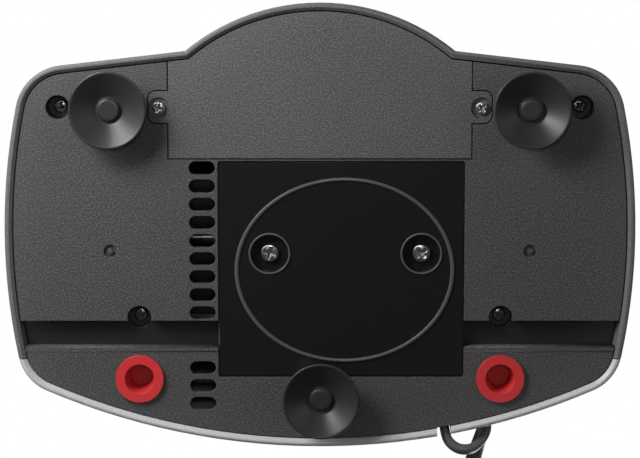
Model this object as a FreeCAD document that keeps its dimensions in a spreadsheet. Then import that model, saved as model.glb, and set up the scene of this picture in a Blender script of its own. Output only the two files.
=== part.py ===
"""Two-stage electric knife sharpener, in millimetres.

It stands on three suction feet with +Z up and the low hood with its switch towards -Y.
The origin is the centre of the bottom of its box, on the surface that it stands on.
"""
import math
import os

import FreeCAD
import Part
import Sketcher

Vector = FreeCAD.Vector

SIZES = {
    # Whole housing
    "overall_length": 210.0,
    "overall_depth": 149.0,
    "overall_height": 106.0,
    "wall": 2.5,
    "rim_height": 8.0,
    "rear_bow": 230.0,
    "side_bow": 211.0,
    "side_bow_place": 2.95,
    "bulge_bow": 70.6,
    "bulge_reach": 10.75,
    "wing_lean": 5.0,
    "wing_slope": 0.115,
    "rear_lean": 14.0,
    "side_lean": 7.0,
    "bulge_lean": 6.0,
    "front_corner": 17.0,
    "rear_corner": 16.0,
    "top_edge": 6.0,
    "rim_round": 0.9,
    "rim_bevel": 0.9,
    "crown_drop": 6.5,
    "hood_front_height": 22.0,
    "hood_low_height": 34.0,
    "hood_low_inset": 8.5,
    "hood_top_height": 56.0,
    "hood_top_place": -27.0,
    "block_front": -20.0,
    "seam_inset": 30.05,
    "seam_height": 14.0,
    "seam_gap": 0.3,
    "seam_rise_run": 40.0,
    "seam_rise_drop": 13.0,
    "pillar_wall": 3.2,
    # Base plate
    "base_height": 9.0,
    "base_thickness": 2.5,
    "base_inset": 2.9,
    "lip_overlap": 2.0,
    "lip_thickness": 1.5,
    "panel_gap": 0.4,
    "band_front": 31.45,
    "band_rear": 40.65,
    "band_depth": 4.5,
    "band_wall": 1.5,
    "vent_length": 8.7,
    "vent_width": 4.5,
    "vent_place": -39.2,
    "vent_first": -19.85,
    "vent_pitch": 6.08,
    "vent_count": 9.0,
    "rear_vent_first": 47.45,
    "rear_vent_pitch": 6.05,
    "rear_vent_count": 3.0,
    "pip_side_inset": 35.1,
    "pip_row": 7.95,
    "pip_radius": 2.15,
    "pip_depth": 1.0,
    # Panels in the base
    "cover_half_width": 50.1,
    "cover_rear": -23.05,
    "ear_screw_place": 53.4,
    "ear_screw_inset": 34.75,
    "ear_reach": 3.3,
    "ear_front_reach": 5.5,
    "ear_rear_reach": 5.0,
    "ear_corner": 2.5,
    "ear_recess_radius": 3.5,
    "ear_recess_depth": 0.9,
    "panel_left": -33.6,
    "panel_right": 47.7,
    "panel_front": -21.75,
    "panel_rear": 50.15,
    "panel_corner": 0.5,
    "panel_sink": 0.4,
    # Screws
    "well_radius": 4.0,
    "well_wall": 1.5,
    "well_depth": 8.5,
    "screw_head_radius": 2.15,
    "screw_head_height": 1.6,
    "screw_radius": 1.3,
    "screw_length": 9.0,
    "screw_clearance": 0.15,
    "screw_side_inset": 18.4,
    "screw_front_inset": 34.55,
    "cover_screw_length": 5.0,
    "rear_screw_row": 30.4,
    "motor_screw_left": -16.8,
    "motor_screw_right": 33.8,
    "motor_recess_radius": 6.3,
    "motor_recess_depth": 2.6,
    "motor_head_radius": 3.05,
    "motor_screw_radius": 1.9,
    "motor_screw_length": 11.0,
    # Suction feet
    "foot_radius": 12.75,
    "foot_rim": 0.8,
    "foot_waist": 8.0,
    "foot_stem": 4.0,
    "foot_nub": 3.85,
    "foot_side_inset": 35.5,
    "foot_front_inset": 35.05,
    "rear_foot_place": 0.3,
    "rear_foot_inset": 17.3,
    "cup_nub_low": 3.2,
    "cup_root": 4.8,
    "foot_tip": 1.5,
    # Cleanout plugs
    "plug_rear_inset": 23.45,
    "flange_radius": 8.0,
    "flange_thickness": 1.2,
    "plug_radius": 6.0,
    "plug_depth": 11.0,
    "plug_mouth": 5.0,
    "plug_floor": 3.5,
    "plug_hollow": 8.5,
    "port_clearance": 0.06,
    "port_wall": 1.6,
    "port_height": 14.0,
    "plug_gap": 0.1,
    # Wheels and drive
    "axis_height": 52.0,
    "axis_place": 8.85,
    "stage_place": 60.4,
    "wheel_radius": 22.0,
    "wheel_rim": 3.0,
    "wheel_angle": 20.0,
    "wheel_hub_radius": 8.0,
    "shaft_radius": 3.0,
    "shaft_end": 0.4,
    "nut_flats": 10.0,
    "nut_thickness": 4.0,
    "running_clearance": 0.05,
    # Motor
    "stator_left": -4.0,
    "stator_right": 22.0,
    "stator_front": -13.55,
    "stator_rear": 41.45,
    "stator_low": 34.0,
    "stator_high": 70.0,
    "bore_radius": 13.3,
    "rotor_radius": 12.7,
    "window_front": 25.45,
    "window_rear": 33.45,
    "window_low": 42.0,
    "window_high": 62.0,
    "coil_margin": 6.8,
    "coil_gap": 0.3,
    "bracket_thickness": 3.0,
    "bracket_half_width": 12.0,
    "bracket_high": 64.0,
    "bracket_foot_radius": 5.0,
    "bearing_radius": 7.0,
    "bearing_width": 6.0,
    "bearing_boss_wall": 2.5,
    "post_radius": 2.0,
    "fan_place": -28.5,
    "fan_radius": 19.0,
    "fan_width": 7.0,
    "fan_hub_radius": 6.0,
    "fan_blades": 9.0,
    # Blade guides
    "guide_half_width": 26.7,
    "guide_floor": 70.0,
    "guide_gap": 0.3,
    "slot_floor": 74.0,
    "slot_lean": 18.0,
    "slot_offset": 6.2,
    "slot_floor_width": 4.0,
    "slot_top_width": 10.0,
    "slot_run": 34.0,
    "wheel_room": 1.5,
    # Dust chambers
    "chamber_half_width": 13.5,
    "chute_half_width": 8.0,
    "chamber_wall": 1.5,
    "chamber_floor": 24.5,
    "chamber_front": -16.05,
    "chamber_rear": 35.45,
    "chute_end": 3.4,
    "boss_radius": 3.6,
    # Switch
    "switch_place": -47.0,
    "switch_half_length": 13.0,
    "switch_half_width": 9.5,
    "switch_depth": 17.0,
    "switch_flange": 2.0,
    "switch_flange_height": 1.4,
    "switch_wall": 1.6,
    "rocker_half_length": 11.0,
    "rocker_half_width": 7.4,
    "rocker_pivot": 5.0,
    "rocker_rise": 2.5,
    "rocker_pin": 1.5,
    "rocker_travel": 14.0,
    # Supply lead
    "lead_thickness": 3.2,
    "lead_width": 5.6,
    "lead_exit_place": 41.8,
    "notch_left": 39.4,
    "notch_right": 44.0,
    "notch_height": 18.4,
    "relief_inset": 13.05,
    "relief_length": 9.2,
    "relief_half_width": 5.0,
    "relief_high": 21.0,
    "relief_low": 11.6,
    "inner_lead_radius": 1.1,
    "inner_lead_level": 18.0,
    "inner_lead_bend": 28.0,
    "inner_lead_front": -8.0,
    "inner_lead_turn": 22.0,
    "coil_centre_place": 22.0,
    "coil_centre_row": 134.0,
    "coil_outer_radius": 36.5,
    "coil_pitch": 3.8,
    "coil_layer": 6.2,
    "coil_half_turns": 5.0,
    "coil_straight": 6.0,
    "coil_tail": 31.0,
    "tie_width": 8.0,
    "tie_thickness": 1.2,
    "plug_length": 30.0,
    "plug_width": 24.0,
    "plug_corner": 5.0,
    "floor_gap": 0.05,
    "blade_length": 17.0,
    "blade_width": 6.3,
    "blade_thickness": 1.5,
    "blade_spacing": 12.7,
}

# Places that follow from the sizes above
TIED = {
    "wing_front": "overall_depth / 2 - bulge_reach",
    "hood_low_place": "hood_low_inset - overall_depth / 2",
    "seam_place": "overall_depth / 2 - seam_inset",
    "pip_place": "overall_length / 2 - pip_side_inset",
    "ear_screw_row": "ear_screw_inset - overall_depth / 2",
    "front_screw_place": "overall_length / 2 - screw_side_inset",
    "front_screw_row": "screw_front_inset - overall_depth / 2",
    "foot_place": "overall_length / 2 - foot_side_inset",
    "foot_row": "foot_front_inset - overall_depth / 2",
    "rear_foot_row": "overall_depth / 2 - rear_foot_inset",
    "plug_row": "overall_depth / 2 - plug_rear_inset",
    "relief_rear": "overall_depth / 2 - relief_inset",
}


class Size:
    """A number with the text of the expression that gives it."""

    def __init__(self, value, text=None):
        self.value = float(value)
        self.text = text if text is not None else repr(float(value))

    @staticmethod
    def of(other):
        return other if isinstance(other, Size) else Size(other)

    def join(self, other, sign, value):
        return Size(value, f"({self.text} {sign} {other.text})")

    def __add__(self, other):
        other = Size.of(other)
        return self.join(other, "+", self.value + other.value)

    def __radd__(self, other):
        return Size.of(other) + self

    def __sub__(self, other):
        other = Size.of(other)
        return self.join(other, "-", self.value - other.value)

    def __rsub__(self, other):
        return Size.of(other) - self

    def __mul__(self, other):
        other = Size.of(other)
        return self.join(other, "*", self.value * other.value)

    def __rmul__(self, other):
        return Size.of(other) * self

    def __truediv__(self, other):
        other = Size.of(other)
        return self.join(other, "/", self.value / other.value)

    def __neg__(self):
        return Size(-self.value, f"(-{self.text})")


class Sheet:
    """The driving dimensions, by name."""

    def __init__(self, document):
        self.sheet = document.addObject("Spreadsheet::Sheet", "Sizes")
        cells = {name: str(value) for name, value in SIZES.items()}
        cells.update((name, f"={text}") for name, text in TIED.items())
        for row, (name, text) in enumerate(cells.items(), start=1):
            self.sheet.set(f"A{row}", name)
            self.sheet.set(f"B{row}", text)
            self.sheet.setAlias(f"B{row}", name)
        document.recompute()

    def __getattr__(self, name):
        return Size(getattr(self.sheet, name), f"Sizes.{name}")


doc = FreeCAD.newDocument("KnifeSharpener")
S = Sheet(doc)
nodes = {}


def number(size):
    return Size.of(size).value


def bind(thing, prop, size):
    size = Size.of(size)
    if size.text.startswith(("(", "Sizes")):
        thing.setExpression(prop, size.text)
    else:
        setattr(thing, prop, size.value)


def place(thing, x, y, z, rotation=None):
    base = Vector(number(x), number(y), number(z))
    thing.Placement = FreeCAD.Placement(base, rotation or FreeCAD.Rotation())
    for axis, size in zip("xyz", (x, y, z)):
        size = Size.of(size)
        if size.text.startswith(("(", "Sizes")):
            thing.setExpression(f"Placement.Base.{axis}", size.text)


ALONG_X = FreeCAD.Rotation(Vector(0, 1, 0), 90)


def box(low, high):
    """A Part box between two corners given as sizes."""
    thing = doc.addObject("Part::Box", "Block")
    for prop, small, large in zip(("Length", "Width", "Height"), low, high):
        bind(thing, prop, Size.of(large) - Size.of(small))
    place(thing, *low)
    return thing


def cylinder(radius, height, base, rotation=None):
    thing = doc.addObject("Part::Cylinder", "Round")
    bind(thing, "Radius", radius)
    bind(thing, "Height", height)
    place(thing, *base, rotation)
    return thing


def fuse(things):
    if len(things) == 1:
        return things[0]
    thing = doc.addObject("Part::MultiFuse", "Joined")
    thing.Shapes = things
    return thing


def cut(base, tools):
    thing = doc.addObject("Part::Cut", "Cut")
    thing.Base = base
    thing.Tool = fuse(tools)
    return thing


def compound(things):
    thing = doc.addObject("Part::Compound", "Group")
    thing.Links = things
    return thing


def feature(shape):
    thing = doc.addObject("Part::Feature", "Form")
    thing.Shape = shape
    return thing


def node(name, thing):
    thing.Label = name
    nodes[name] = thing
    return thing


def origin_plane(body, role):
    return next(plane for plane in body.Origin.OriginFeatures if plane.Role == role)


def profile_sketch(body, role, points):
    """A closed sketch through points whose places are tied to the sheet."""
    sketch = body.newObject("Sketcher::SketchObject", "Profile")
    sketch.AttachmentSupport = [(origin_plane(body, role), "")]
    sketch.MapMode = "FlatFace"
    count = len(points)
    corners = [Vector(number(across), number(up), 0) for across, up in points]
    for index in range(count):
        sketch.addGeometry(Part.LineSegment(corners[index], corners[(index + 1) % count]), False)
    for index in range(count):
        sketch.addConstraint(sketcher_tie(index, (index + 1) % count))
    for index, (across, up) in enumerate(points):
        for kind, size in (("DistanceX", across), ("DistanceY", up)):
            row = sketch.addConstraint(sketcher_place(kind, index, number(size)))
            size = Size.of(size)
            if size.text.startswith(("(", "Sizes")):
                sketch.setExpression(f"Constraints[{row}]", size.text)
    return sketch


def sketcher_tie(first, second):
    return Sketcher.Constraint("Coincident", first, 2, second, 1)


def sketcher_place(kind, index, value):
    return Sketcher.Constraint(kind, -1, 1, index, 1, value)


def turned(points, x=0, y=0, z=0, rotation=None):
    """A body turned about its own Z axis from (radius, height) points."""
    body = doc.addObject("PartDesign::Body", "Turned")
    sketch = profile_sketch(body, "XZ_Plane", points)
    turn = body.newObject("PartDesign::Revolution", "Turn")
    turn.Profile = sketch
    turn.ReferenceAxis = (sketch, ["V_Axis"])
    turn.Angle = 360
    body.Tip = turn
    place(body, x, y, z, rotation)
    return body


# Housing form

FAR = 400.0
FORM_TOP = 130.0


def plan_solid(inset, low, high, corners=True):
    """The plan outline, leaning inwards as it rises, with its faces moved in by inset."""
    rim = S.rim_height.value

    def leaning(x, y, radius, lean):
        slope = math.tan(math.radians(lean))
        bottom = radius - inset - (low - rim) * slope
        top = radius - inset - (high - rim) * slope
        return Part.makeCone(bottom, top, high - low, Vector(x, y, low))

    half_depth = S.overall_depth.value / 2
    reach = S.side_bow.value - S.overall_length.value / 2
    side_row = S.side_bow_place.value
    rear = leaning(0, half_depth - S.rear_bow.value, S.rear_bow.value, S.rear_lean.value)
    right = leaning(-reach, side_row, S.side_bow.value, S.side_lean.value)
    left = leaning(reach, side_row, S.side_bow.value, S.side_lean.value)
    wing = rear.common(right).common(left)
    half = S.overall_length.value

    def front_outline(level):
        front = inset - S.wing_front.value + (level - rim) * math.tan(math.radians(S.wing_lean.value))
        side = front + half * S.wing_slope.value
        corners = [(0, front), (half, side), (half, FAR), (-half, FAR), (-half, side), (0, front)]
        return Part.makePolygon([Vector(x, y, level) for x, y in corners])

    wing = wing.common(Part.makeLoft([front_outline(low - 1), front_outline(high + 1)], True, True))
    bow = S.bulge_bow.value
    bulge = leaning(0, bow - half_depth, bow, S.bulge_lean.value)
    bulge = bulge.common(Part.makeBox(2 * half, half, FAR, Vector(-half, -half, -half / 2)))
    solid = wing.fuse(bulge).removeSplitter()
    if corners:
        radius = S.front_corner.value - inset
        solid = solid.makeFillet(radius, upright_edges(solid, low, high, -half_depth, 0))
        radius = S.rear_corner.value - inset
        solid = solid.makeFillet(radius, upright_edges(solid, low, high, half_depth / 2, half_depth))
    return solid


def upright_edges(solid, low, high, front, rear):
    """The corner edges that run from bottom to top between two rows."""
    outer = 0.38 * S.overall_length.value
    chosen = []
    for edge in solid.Edges:
        ends = sorted((vertex.Point for vertex in edge.Vertexes), key=lambda point: point.z)
        foot = ends[0]
        if ends[-1].z - foot.z > high - low - 1 and abs(foot.x) > outer and front < foot.y < rear:
            chosen.append(edge)
    return chosen


def side_profile(inset):
    """What the housing keeps as seen from the side: hood, block front and top."""
    top = S.overall_height.value
    outline = [(-FAR, 0), (-FAR, S.hood_front_height.value), (-S.overall_depth.value / 2 - wall_room(),
               S.hood_front_height.value), (S.hood_low_place.value, S.hood_low_height.value),
               (S.hood_top_place.value, S.hood_top_height.value), (S.block_front.value, top),
               (FAR, top), (FAR, 0)]
    points = [Vector(-FAR, row, height) for row, height in outline]
    face = Part.Face(Part.makePolygon(points + points[:1]))
    if inset:
        face = face.makeOffset2D(-inset)
    return face.extrude(Vector(2 * FAR, 0, 0))


def wall_room():
    return 8 * S.wall.value


def crown_profile(inset):
    """What the housing keeps as seen from the front: a top that falls away to both sides."""
    half = 1.15 * S.overall_length.value / 2
    top = S.overall_height.value - inset
    low = top - S.crown_drop.value
    arc = Part.Arc(Vector(-half, -FAR, low), Vector(0, -FAR, top), Vector(half, -FAR, low)).toShape()
    corners = [Vector(half, -FAR, low), Vector(half, -FAR, -FAR), Vector(-half, -FAR, -FAR),
               Vector(-half, -FAR, low)]
    sides = [Part.makeLine(corners[index], corners[index + 1]) for index in range(3)]
    return Part.Face(Part.Wire([arc] + sides)).extrude(Vector(0, 2 * FAR, 0))


def housing_form(inset, low, rounded):
    form = plan_solid(inset, low, FORM_TOP).common(side_profile(inset)).common(crown_profile(inset))
    if rounded:
        above = S.rim_height.value + S.top_edge.value
        edges = [edge for edge in form.Edges if edge.BoundBox.ZMin > above]
        form = form.makeFillet(S.top_edge.value, edges)
        edges = [edge for edge in form.Edges if edge.BoundBox.ZMax < low + 0.01]
        form = form.makeFillet(S.rim_round.value, edges)
    return form


def block(low, high):
    """A plain box shape between two corners given as numbers."""
    low = [number(value) for value in low]
    high = [number(value) for value in high]
    return Part.makeBox(*(b - a for a, b in zip(low, high)), Vector(*low))


def rod(radius, height, base, axis=(0, 0, 1)):
    return Part.makeCylinder(number(radius), number(height), Vector(*(number(v) for v in base)),
                             Vector(*axis))


def side_prism(outline, low, high):
    """A solid between two X places from a (y, z) outline."""
    points = [Vector(number(low), number(y), number(z)) for y, z in outline]
    face = Part.Face(Part.makePolygon(points + points[:1]))
    return face.extrude(Vector(number(high) - number(low), 0, 0))


def joined(shapes):
    return shapes[0].multiFuse(shapes[1:]).removeSplitter() if len(shapes) > 1 else shapes[0]


def without(shape, tools):
    return shape.cut(tools)


def rear_region(gap):
    """The space behind and above the seam that runs round the housing."""
    place_y = S.seam_place.value - gap
    low = S.seam_height.value - gap
    hood = S.hood_top_height.value + 1.0 - gap
    block_y = S.block_front.value - gap
    outline = [(place_y, -FAR), (place_y, low), (block_y + S.seam_rise_run.value, hood - S.seam_rise_drop.value), (block_y, hood),
               (-FAR, hood), (-FAR, FAR), (FAR, FAR), (FAR, -FAR)]
    return side_prism(outline, -FAR, FAR)


rim = S.rim_height.value
outer_form = housing_form(0.0, rim, True)
inner_form = housing_form(S.wall.value, rim - 1.0, False)
shell = outer_form.cut(inner_form)
rim_face = next(face for face in shell.Faces if face.BoundBox.ZMax < rim + 0.01)
inner_rim = min(rim_face.Wires, key=lambda wire: wire.Length)
shell = shell.makeChamfer(S.rim_bevel.value, inner_rim.Edges)

guide_low = S.guide_floor.value
guide_centres = {"left": -S.stage_place.value, "right": S.stage_place.value}


def guide_box(centre, gap):
    half = S.guide_half_width.value + gap
    return block((centre - half, -FAR, guide_low - gap), (centre + half, FAR, FORM_TOP))


seat_high = S.base_height.value + S.base_thickness.value
front_screws = [(side * S.front_screw_place.value, S.front_screw_row.value) for side in (-1, 1)]
rear_screws = [(side * S.stage_place.value, S.rear_screw_row.value) for side in (-1, 1)]
well_top = S.base_height.value + S.well_depth.value + S.well_wall.value
boss_low = well_top + 0.1
screw_hole = S.screw_radius + S.screw_clearance
hole_depth = S.screw_length + 0.5

# Switch place on the hood, square to its slope
hood_rise = S.hood_top_height.value - S.hood_low_height.value
hood_run = S.hood_top_place.value - S.hood_low_place.value
hood_slope = math.degrees(math.atan2(hood_rise, hood_run))
switch_level = S.hood_low_height.value + (S.switch_place.value - S.hood_low_place.value) * hood_rise / hood_run
switch_spot = FreeCAD.Placement(Vector(0, S.switch_place.value, switch_level),
                                FreeCAD.Rotation(Vector(1, 0, 0), hood_slope))


def on_hood(shape):
    shape.Placement = switch_spot.multiply(shape.Placement)
    return shape


# Front housing
front_shape = shell.cut(rear_region(S.seam_gap.value))
pillars = [rod(S.screw_radius + S.pillar_wall, FORM_TOP, (x, y, boss_low)) for x, y in front_screws]
pillars = [pillar.common(housing_form(S.wall.value - 0.5, rim, False)) for pillar in pillars]
front_shape = joined([front_shape] + pillars)
pilots = [rod(screw_hole, hole_depth, (x, y, boss_low - 0.1)) for x, y in front_screws]
switch_hole = on_hood(block((-S.switch_half_width.value - 0.3, -S.switch_half_length.value - 0.3, -20),
                            (S.switch_half_width.value + 0.3, S.switch_half_length.value + 0.3, 20)))
node("front_housing", feature(without(front_shape, pilots + [switch_hole])))

# Rear housing
notch = block((S.notch_left, S.overall_depth / 4, -1), (S.notch_right, FAR, S.notch_height))
rear_shape = shell.common(rear_region(0.0))
guide_cuts = [guide_box(centre, S.guide_gap.value) for centre in guide_centres.values()]
node("rear_housing", feature(without(rear_shape, guide_cuts + [notch])))

# Base plate
base_low = S.base_height.value


def plan_plate(inset, low, high):
    """A level plate whose edge leans with the wall round it."""
    return plan_solid(inset, rim - 2.0, FORM_TOP).common(block((-FAR, -FAR, low), (FAR, FAR, high)))


def rounded_block(low, high, radius):
    """A box with its upright edges rounded."""
    shape = block(low, high)
    upright = [edge for edge in shape.Edges if abs(edge.tangentAt(edge.FirstParameter).z) > 0.9]
    return shape.makeFillet(radius, upright)


def cover_solid(grow, low, high):
    """The front compartment cover: the bulge with an ear at each side."""
    half = S.cover_half_width.value + grow
    middle = plan_plate(S.base_inset.value - grow, low, high)
    middle = middle.common(block((-half, -FAR, low - 1), (half, S.cover_rear.value + grow, high + 1)))
    reach = S.ear_screw_place.value + S.ear_reach.value + grow
    row = S.ear_screw_row.value
    ears = rounded_block((-reach, row - S.ear_front_reach.value - grow, low),
                         (reach, row + S.ear_rear_reach.value + grow, high), S.ear_corner.value + grow)
    return joined([middle, ears])


def panel_solid(grow, low, high):
    return rounded_block((S.panel_left.value - grow, S.panel_front.value - grow, low),
                         (S.panel_right.value + grow, S.panel_rear.value + grow, high),
                         S.panel_corner.value + max(grow, 0.0))


def slot_solid(x, y, length, width, low, high):
    """A round-ended slot along X."""
    reach = (length - width) / 2
    ends = [rod(width / 2, high - low, (x + side * reach, y, low)) for side in (-1, 1)]
    middle = block((x - reach, y - width / 2, low), (x + reach, y + width / 2, high))
    return joined([middle] + ends)


base_shape = plan_plate(S.base_inset.value, base_low, seat_high)
lip_top = seat_high + S.lip_thickness.value
lip = S.lip_overlap.value
gap = S.panel_gap.value
backing = [cover_solid(lip, seat_high, lip_top), panel_solid(lip, seat_high, lip_top)]
bands = [(-FAR, S.panel_left.value - gap), (S.panel_right.value + gap, FAR)]
band_top = base_low + S.band_depth.value
border = S.band_wall.value
for left, right in bands:
    backing.append(block((left - border, S.band_front.value - border, seat_high),
                         (right + border, S.band_rear.value + border, band_top + border)))
wells = front_screws + rear_screws
for x, y in wells:
    backing.append(rod(S.well_radius + S.well_wall, well_top - seat_high, (x, y, seat_high)))
port_radius = S.plug_radius + S.port_clearance
ports = [(side * S.stage_place.value, S.plug_row.value) for side in (-1, 1)]
for x, y in ports:
    backing.append(rod(port_radius + S.port_wall, S.port_height, (x, y, base_low)))
reach_form = plan_solid(S.wall.value + 0.4, base_low - 1, FORM_TOP)
backing = [piece.common(reach_form) for piece in backing]
base_shape = joined([base_shape] + backing)

hollows = [cover_solid(gap, base_low - 1, seat_high), cover_solid(-lip, base_low - 1, lip_top + 1),
           panel_solid(gap, base_low - 1, seat_high), panel_solid(-lip, base_low - 1, lip_top + 1)]
for left, right in bands:
    hollows.append(block((left, S.band_front, base_low - 1), (right, S.band_rear, band_top)))
for x, y in wells:
    hollows.append(rod(S.well_radius, S.well_depth + 1, (x, y, base_low - 1)))
    hollows.append(rod(screw_hole, FORM_TOP, (x, y, base_low)))
for x, y in ports:
    hollows.append(rod(port_radius, FORM_TOP, (x, y, base_low - 1)))
for side in (-1, 1):
    ear_x = side * S.ear_screw_place.value
    hollows.append(rod(screw_hole, FORM_TOP, (ear_x, S.ear_screw_row, base_low)))
    ring = rod(S.pip_radius, S.pip_depth + 1, (side * S.pip_place.value, S.pip_row, base_low - 1))
    nub = rod(S.pip_radius * 0.45, FORM_TOP, (side * S.pip_place.value, S.pip_row, base_low - 1))
    hollows.append(ring.cut(nub))
vent_rows = [S.vent_first.value + index * S.vent_pitch.value for index in range(int(S.vent_count.value))]
vent_rows += [S.rear_vent_first.value + index * S.rear_vent_pitch.value
              for index in range(int(S.rear_vent_count.value))]
for row in vent_rows:
    hollows.append(slot_solid(S.vent_place.value, row, S.vent_length.value, S.vent_width.value,
                              base_low - 1, lip_top + 1))
feet = {"foot_front_left": (-S.foot_place, S.foot_row), "foot_front_right": (S.foot_place, S.foot_row),
        "foot_rear": (S.rear_foot_place, S.rear_foot_row)}
for x, y in feet.values():
    hollows.append(rod(S.foot_stem + 0.1, FORM_TOP, (x, y, base_low - 1)))
node("base_plate", feature(without(base_shape, hollows)))

# Front compartment cover and motor cover
cover_shape = cover_solid(0.0, base_low, seat_high)
for side in (-1, 1):
    ear_x = side * S.ear_screw_place.value
    cover_shape = without(cover_shape, [rod(S.ear_recess_radius, S.ear_recess_depth + 1,
                                            (ear_x, S.ear_screw_row, base_low - 1)),
                                        rod(screw_hole, FORM_TOP, (ear_x, S.ear_screw_row, base_low))])
node("front_cover", feature(cover_shape))

panel_low = base_low + S.panel_sink.value
motor_screws = [(S.motor_screw_left.value, S.axis_place.value), (S.motor_screw_right.value, S.axis_place.value)]
recess_top = panel_low + S.motor_recess_depth.value
panel_shape = [panel_solid(0.0, panel_low, seat_high)]
panel_shape += [rod(S.motor_recess_radius + 1.2, recess_top + 1.5 - seat_high, (x, y, seat_high))
                for x, y in motor_screws]
panel_hollows = [rod(S.motor_recess_radius, S.motor_recess_depth + 1, (x, y, panel_low - 1)) for x, y in motor_screws]
panel_hollows += [rod(S.motor_screw_radius + S.screw_clearance, FORM_TOP, (x, y, panel_low))
                  for x, y in motor_screws]
node("motor_cover", feature(without(joined(panel_shape), panel_hollows)))


# Screws
def screw_points(head_radius, shank_radius, head_height, length):
    """A screw that points up, with a driver dimple in its head."""
    dimple = head_radius * 0.5
    return [(0, head_height * 0.5), (dimple, head_height * 0.5), (dimple, 0), (head_radius, 0),
            (head_radius, head_height), (shank_radius, head_height), (shank_radius, head_height + length),
            (0, head_height + length)]


def screws(places, head_radius, shank_radius, length, head_level):
    points = screw_points(head_radius, shank_radius, S.screw_head_height, length)
    return compound([turned(points, x, y, head_level - S.screw_head_height) for x, y in places])


sides = (-1, 1)
well_level = S.base_height + S.well_depth
node("base_screws", screws([(S.front_screw_place * side, S.front_screw_row) for side in sides]
                           + [(S.stage_place * side, S.rear_screw_row) for side in sides],
                           S.screw_head_radius, S.screw_radius, S.screw_length - 3, well_level))
cover_level = S.base_height + S.ear_recess_depth
node("cover_screws", screws([(S.ear_screw_place * side, S.ear_screw_row) for side in sides],
                            S.screw_head_radius, S.screw_radius, S.cover_screw_length, cover_level))
motor_level = S.base_height + S.panel_sink + S.motor_recess_depth
node("motor_screws", screws([(S.motor_screw_left, S.axis_place), (S.motor_screw_right, S.axis_place)],
                            S.motor_head_radius, S.motor_screw_radius, S.motor_screw_length, motor_level))

# Suction feet
foot_top = S.base_height + S.base_thickness + S.foot_tip
foot_points = [(0, S.cup_nub_low), (S.foot_nub, S.cup_nub_low), (S.foot_nub, S.cup_root), (S.foot_radius - S.foot_rim, 0),
               (S.foot_radius, 0), (S.foot_radius, S.foot_rim), (S.foot_waist, S.base_height - 1.8),
               (S.foot_waist, S.base_height), (S.foot_stem, S.base_height), (S.foot_stem, foot_top),
               (0, foot_top)]
for name, (x, y) in feet.items():
    node(name, turned(foot_points, x, y, 0))

# Cleanout plugs
flange_top = S.base_height - S.plug_gap
flange_low = flange_top - S.flange_thickness
plug_points = [(0, flange_low + S.plug_hollow), (S.plug_floor, flange_low + S.plug_hollow),
               (S.plug_mouth, flange_low), (S.flange_radius, flange_low), (S.flange_radius, flange_top),
               (S.plug_radius, flange_top), (S.plug_radius, flange_top + S.plug_depth - 1.5),
               (S.plug_radius - 1.0, flange_top + S.plug_depth), (0, flange_top + S.plug_depth)]
for name, side in (("left", -1), ("right", 1)):
    node(f"cleanout_plug_{name}", turned(plug_points, S.stage_place * side, S.plug_row, 0))

# Shaft, wheels and nuts, all about the motor axis
wheel_slope = math.tan(math.radians(S.wheel_angle.value))
hub_spread = (S.wheel_radius - S.wheel_hub_radius) * wheel_slope
half_rim = S.wheel_rim / 2
wheel_half = half_rim + hub_spread
shaft_half = S.stage_place + wheel_half + S.nut_thickness + S.shaft_end
node("motor_shaft", cylinder(S.shaft_radius, shaft_half * 2, (-shaft_half, S.axis_place, S.axis_height), ALONG_X))
bore = S.shaft_radius + 0.02
wheel_points = [(bore, -wheel_half), (S.wheel_hub_radius, -wheel_half), (S.wheel_radius, -half_rim),
                (S.wheel_radius, half_rim), (S.wheel_hub_radius, wheel_half), (bore, wheel_half)]
for name, side in (("coarse_wheel", -1), ("fine_wheel", 1)):
    node(name, turned(wheel_points, S.stage_place * side, S.axis_place, S.axis_height, ALONG_X))


def hexagon(flats):
    radius = flats.value / math.sqrt(3)
    corners = [Vector(radius * math.cos(math.radians(60 * k)), radius * math.sin(math.radians(60 * k)), 0)
               for k in range(7)]
    return Part.Face(Part.makePolygon(corners))


nut = hexagon(S.nut_flats).extrude(Vector(0, 0, S.nut_thickness.value))
nut = nut.cut(rod(bore, 2 * S.nut_thickness.value, (0, 0, -1)))
nuts = []
for side in sides:
    start = side * (S.stage_place.value + wheel_half.value) - (S.nut_thickness.value if side < 0 else 0)
    copy = nut.copy()
    copy.Placement = FreeCAD.Placement(Vector(start, S.axis_place.value, S.axis_height.value), ALONG_X)
    nuts.append(copy)
node("wheel_nuts", feature(Part.makeCompound(nuts)))

# Motor
axis_y, axis_z = S.axis_place, S.axis_height
frame = box((S.stator_left, S.stator_front, S.stator_low), (S.stator_right, S.stator_rear, S.stator_high))
window = box((S.stator_left - 1, S.window_front, S.window_low),
             (S.stator_right + 1, S.window_rear, S.window_high))
bore_hole = cylinder(S.bore_radius, S.stator_right - S.stator_left + 2, (S.stator_left - 1, axis_y, axis_z), ALONG_X)
node("motor_stator", cut(frame, [window, bore_hole]))
margin = S.coil_margin
tight = S.coil_gap
winding = box((S.stator_left - margin, S.window_rear - margin, S.window_low + tight),
              (S.stator_right + margin, S.stator_rear + margin, S.window_high - tight))
leg_room = box((S.stator_left - tight, S.window_rear - tight, S.window_low - 1),
               (S.stator_right + tight, S.stator_rear + tight, S.window_high + 1))
node("motor_coil", cut(winding, [leg_room]))
node("rotor_core", cut(cylinder(S.rotor_radius, S.stator_right - S.stator_left,
                                (S.stator_left, axis_y, axis_z), ALONG_X),
                       [cylinder(bore, FAR, (-FAR / 2, axis_y, axis_z), ALONG_X)]))

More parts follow.
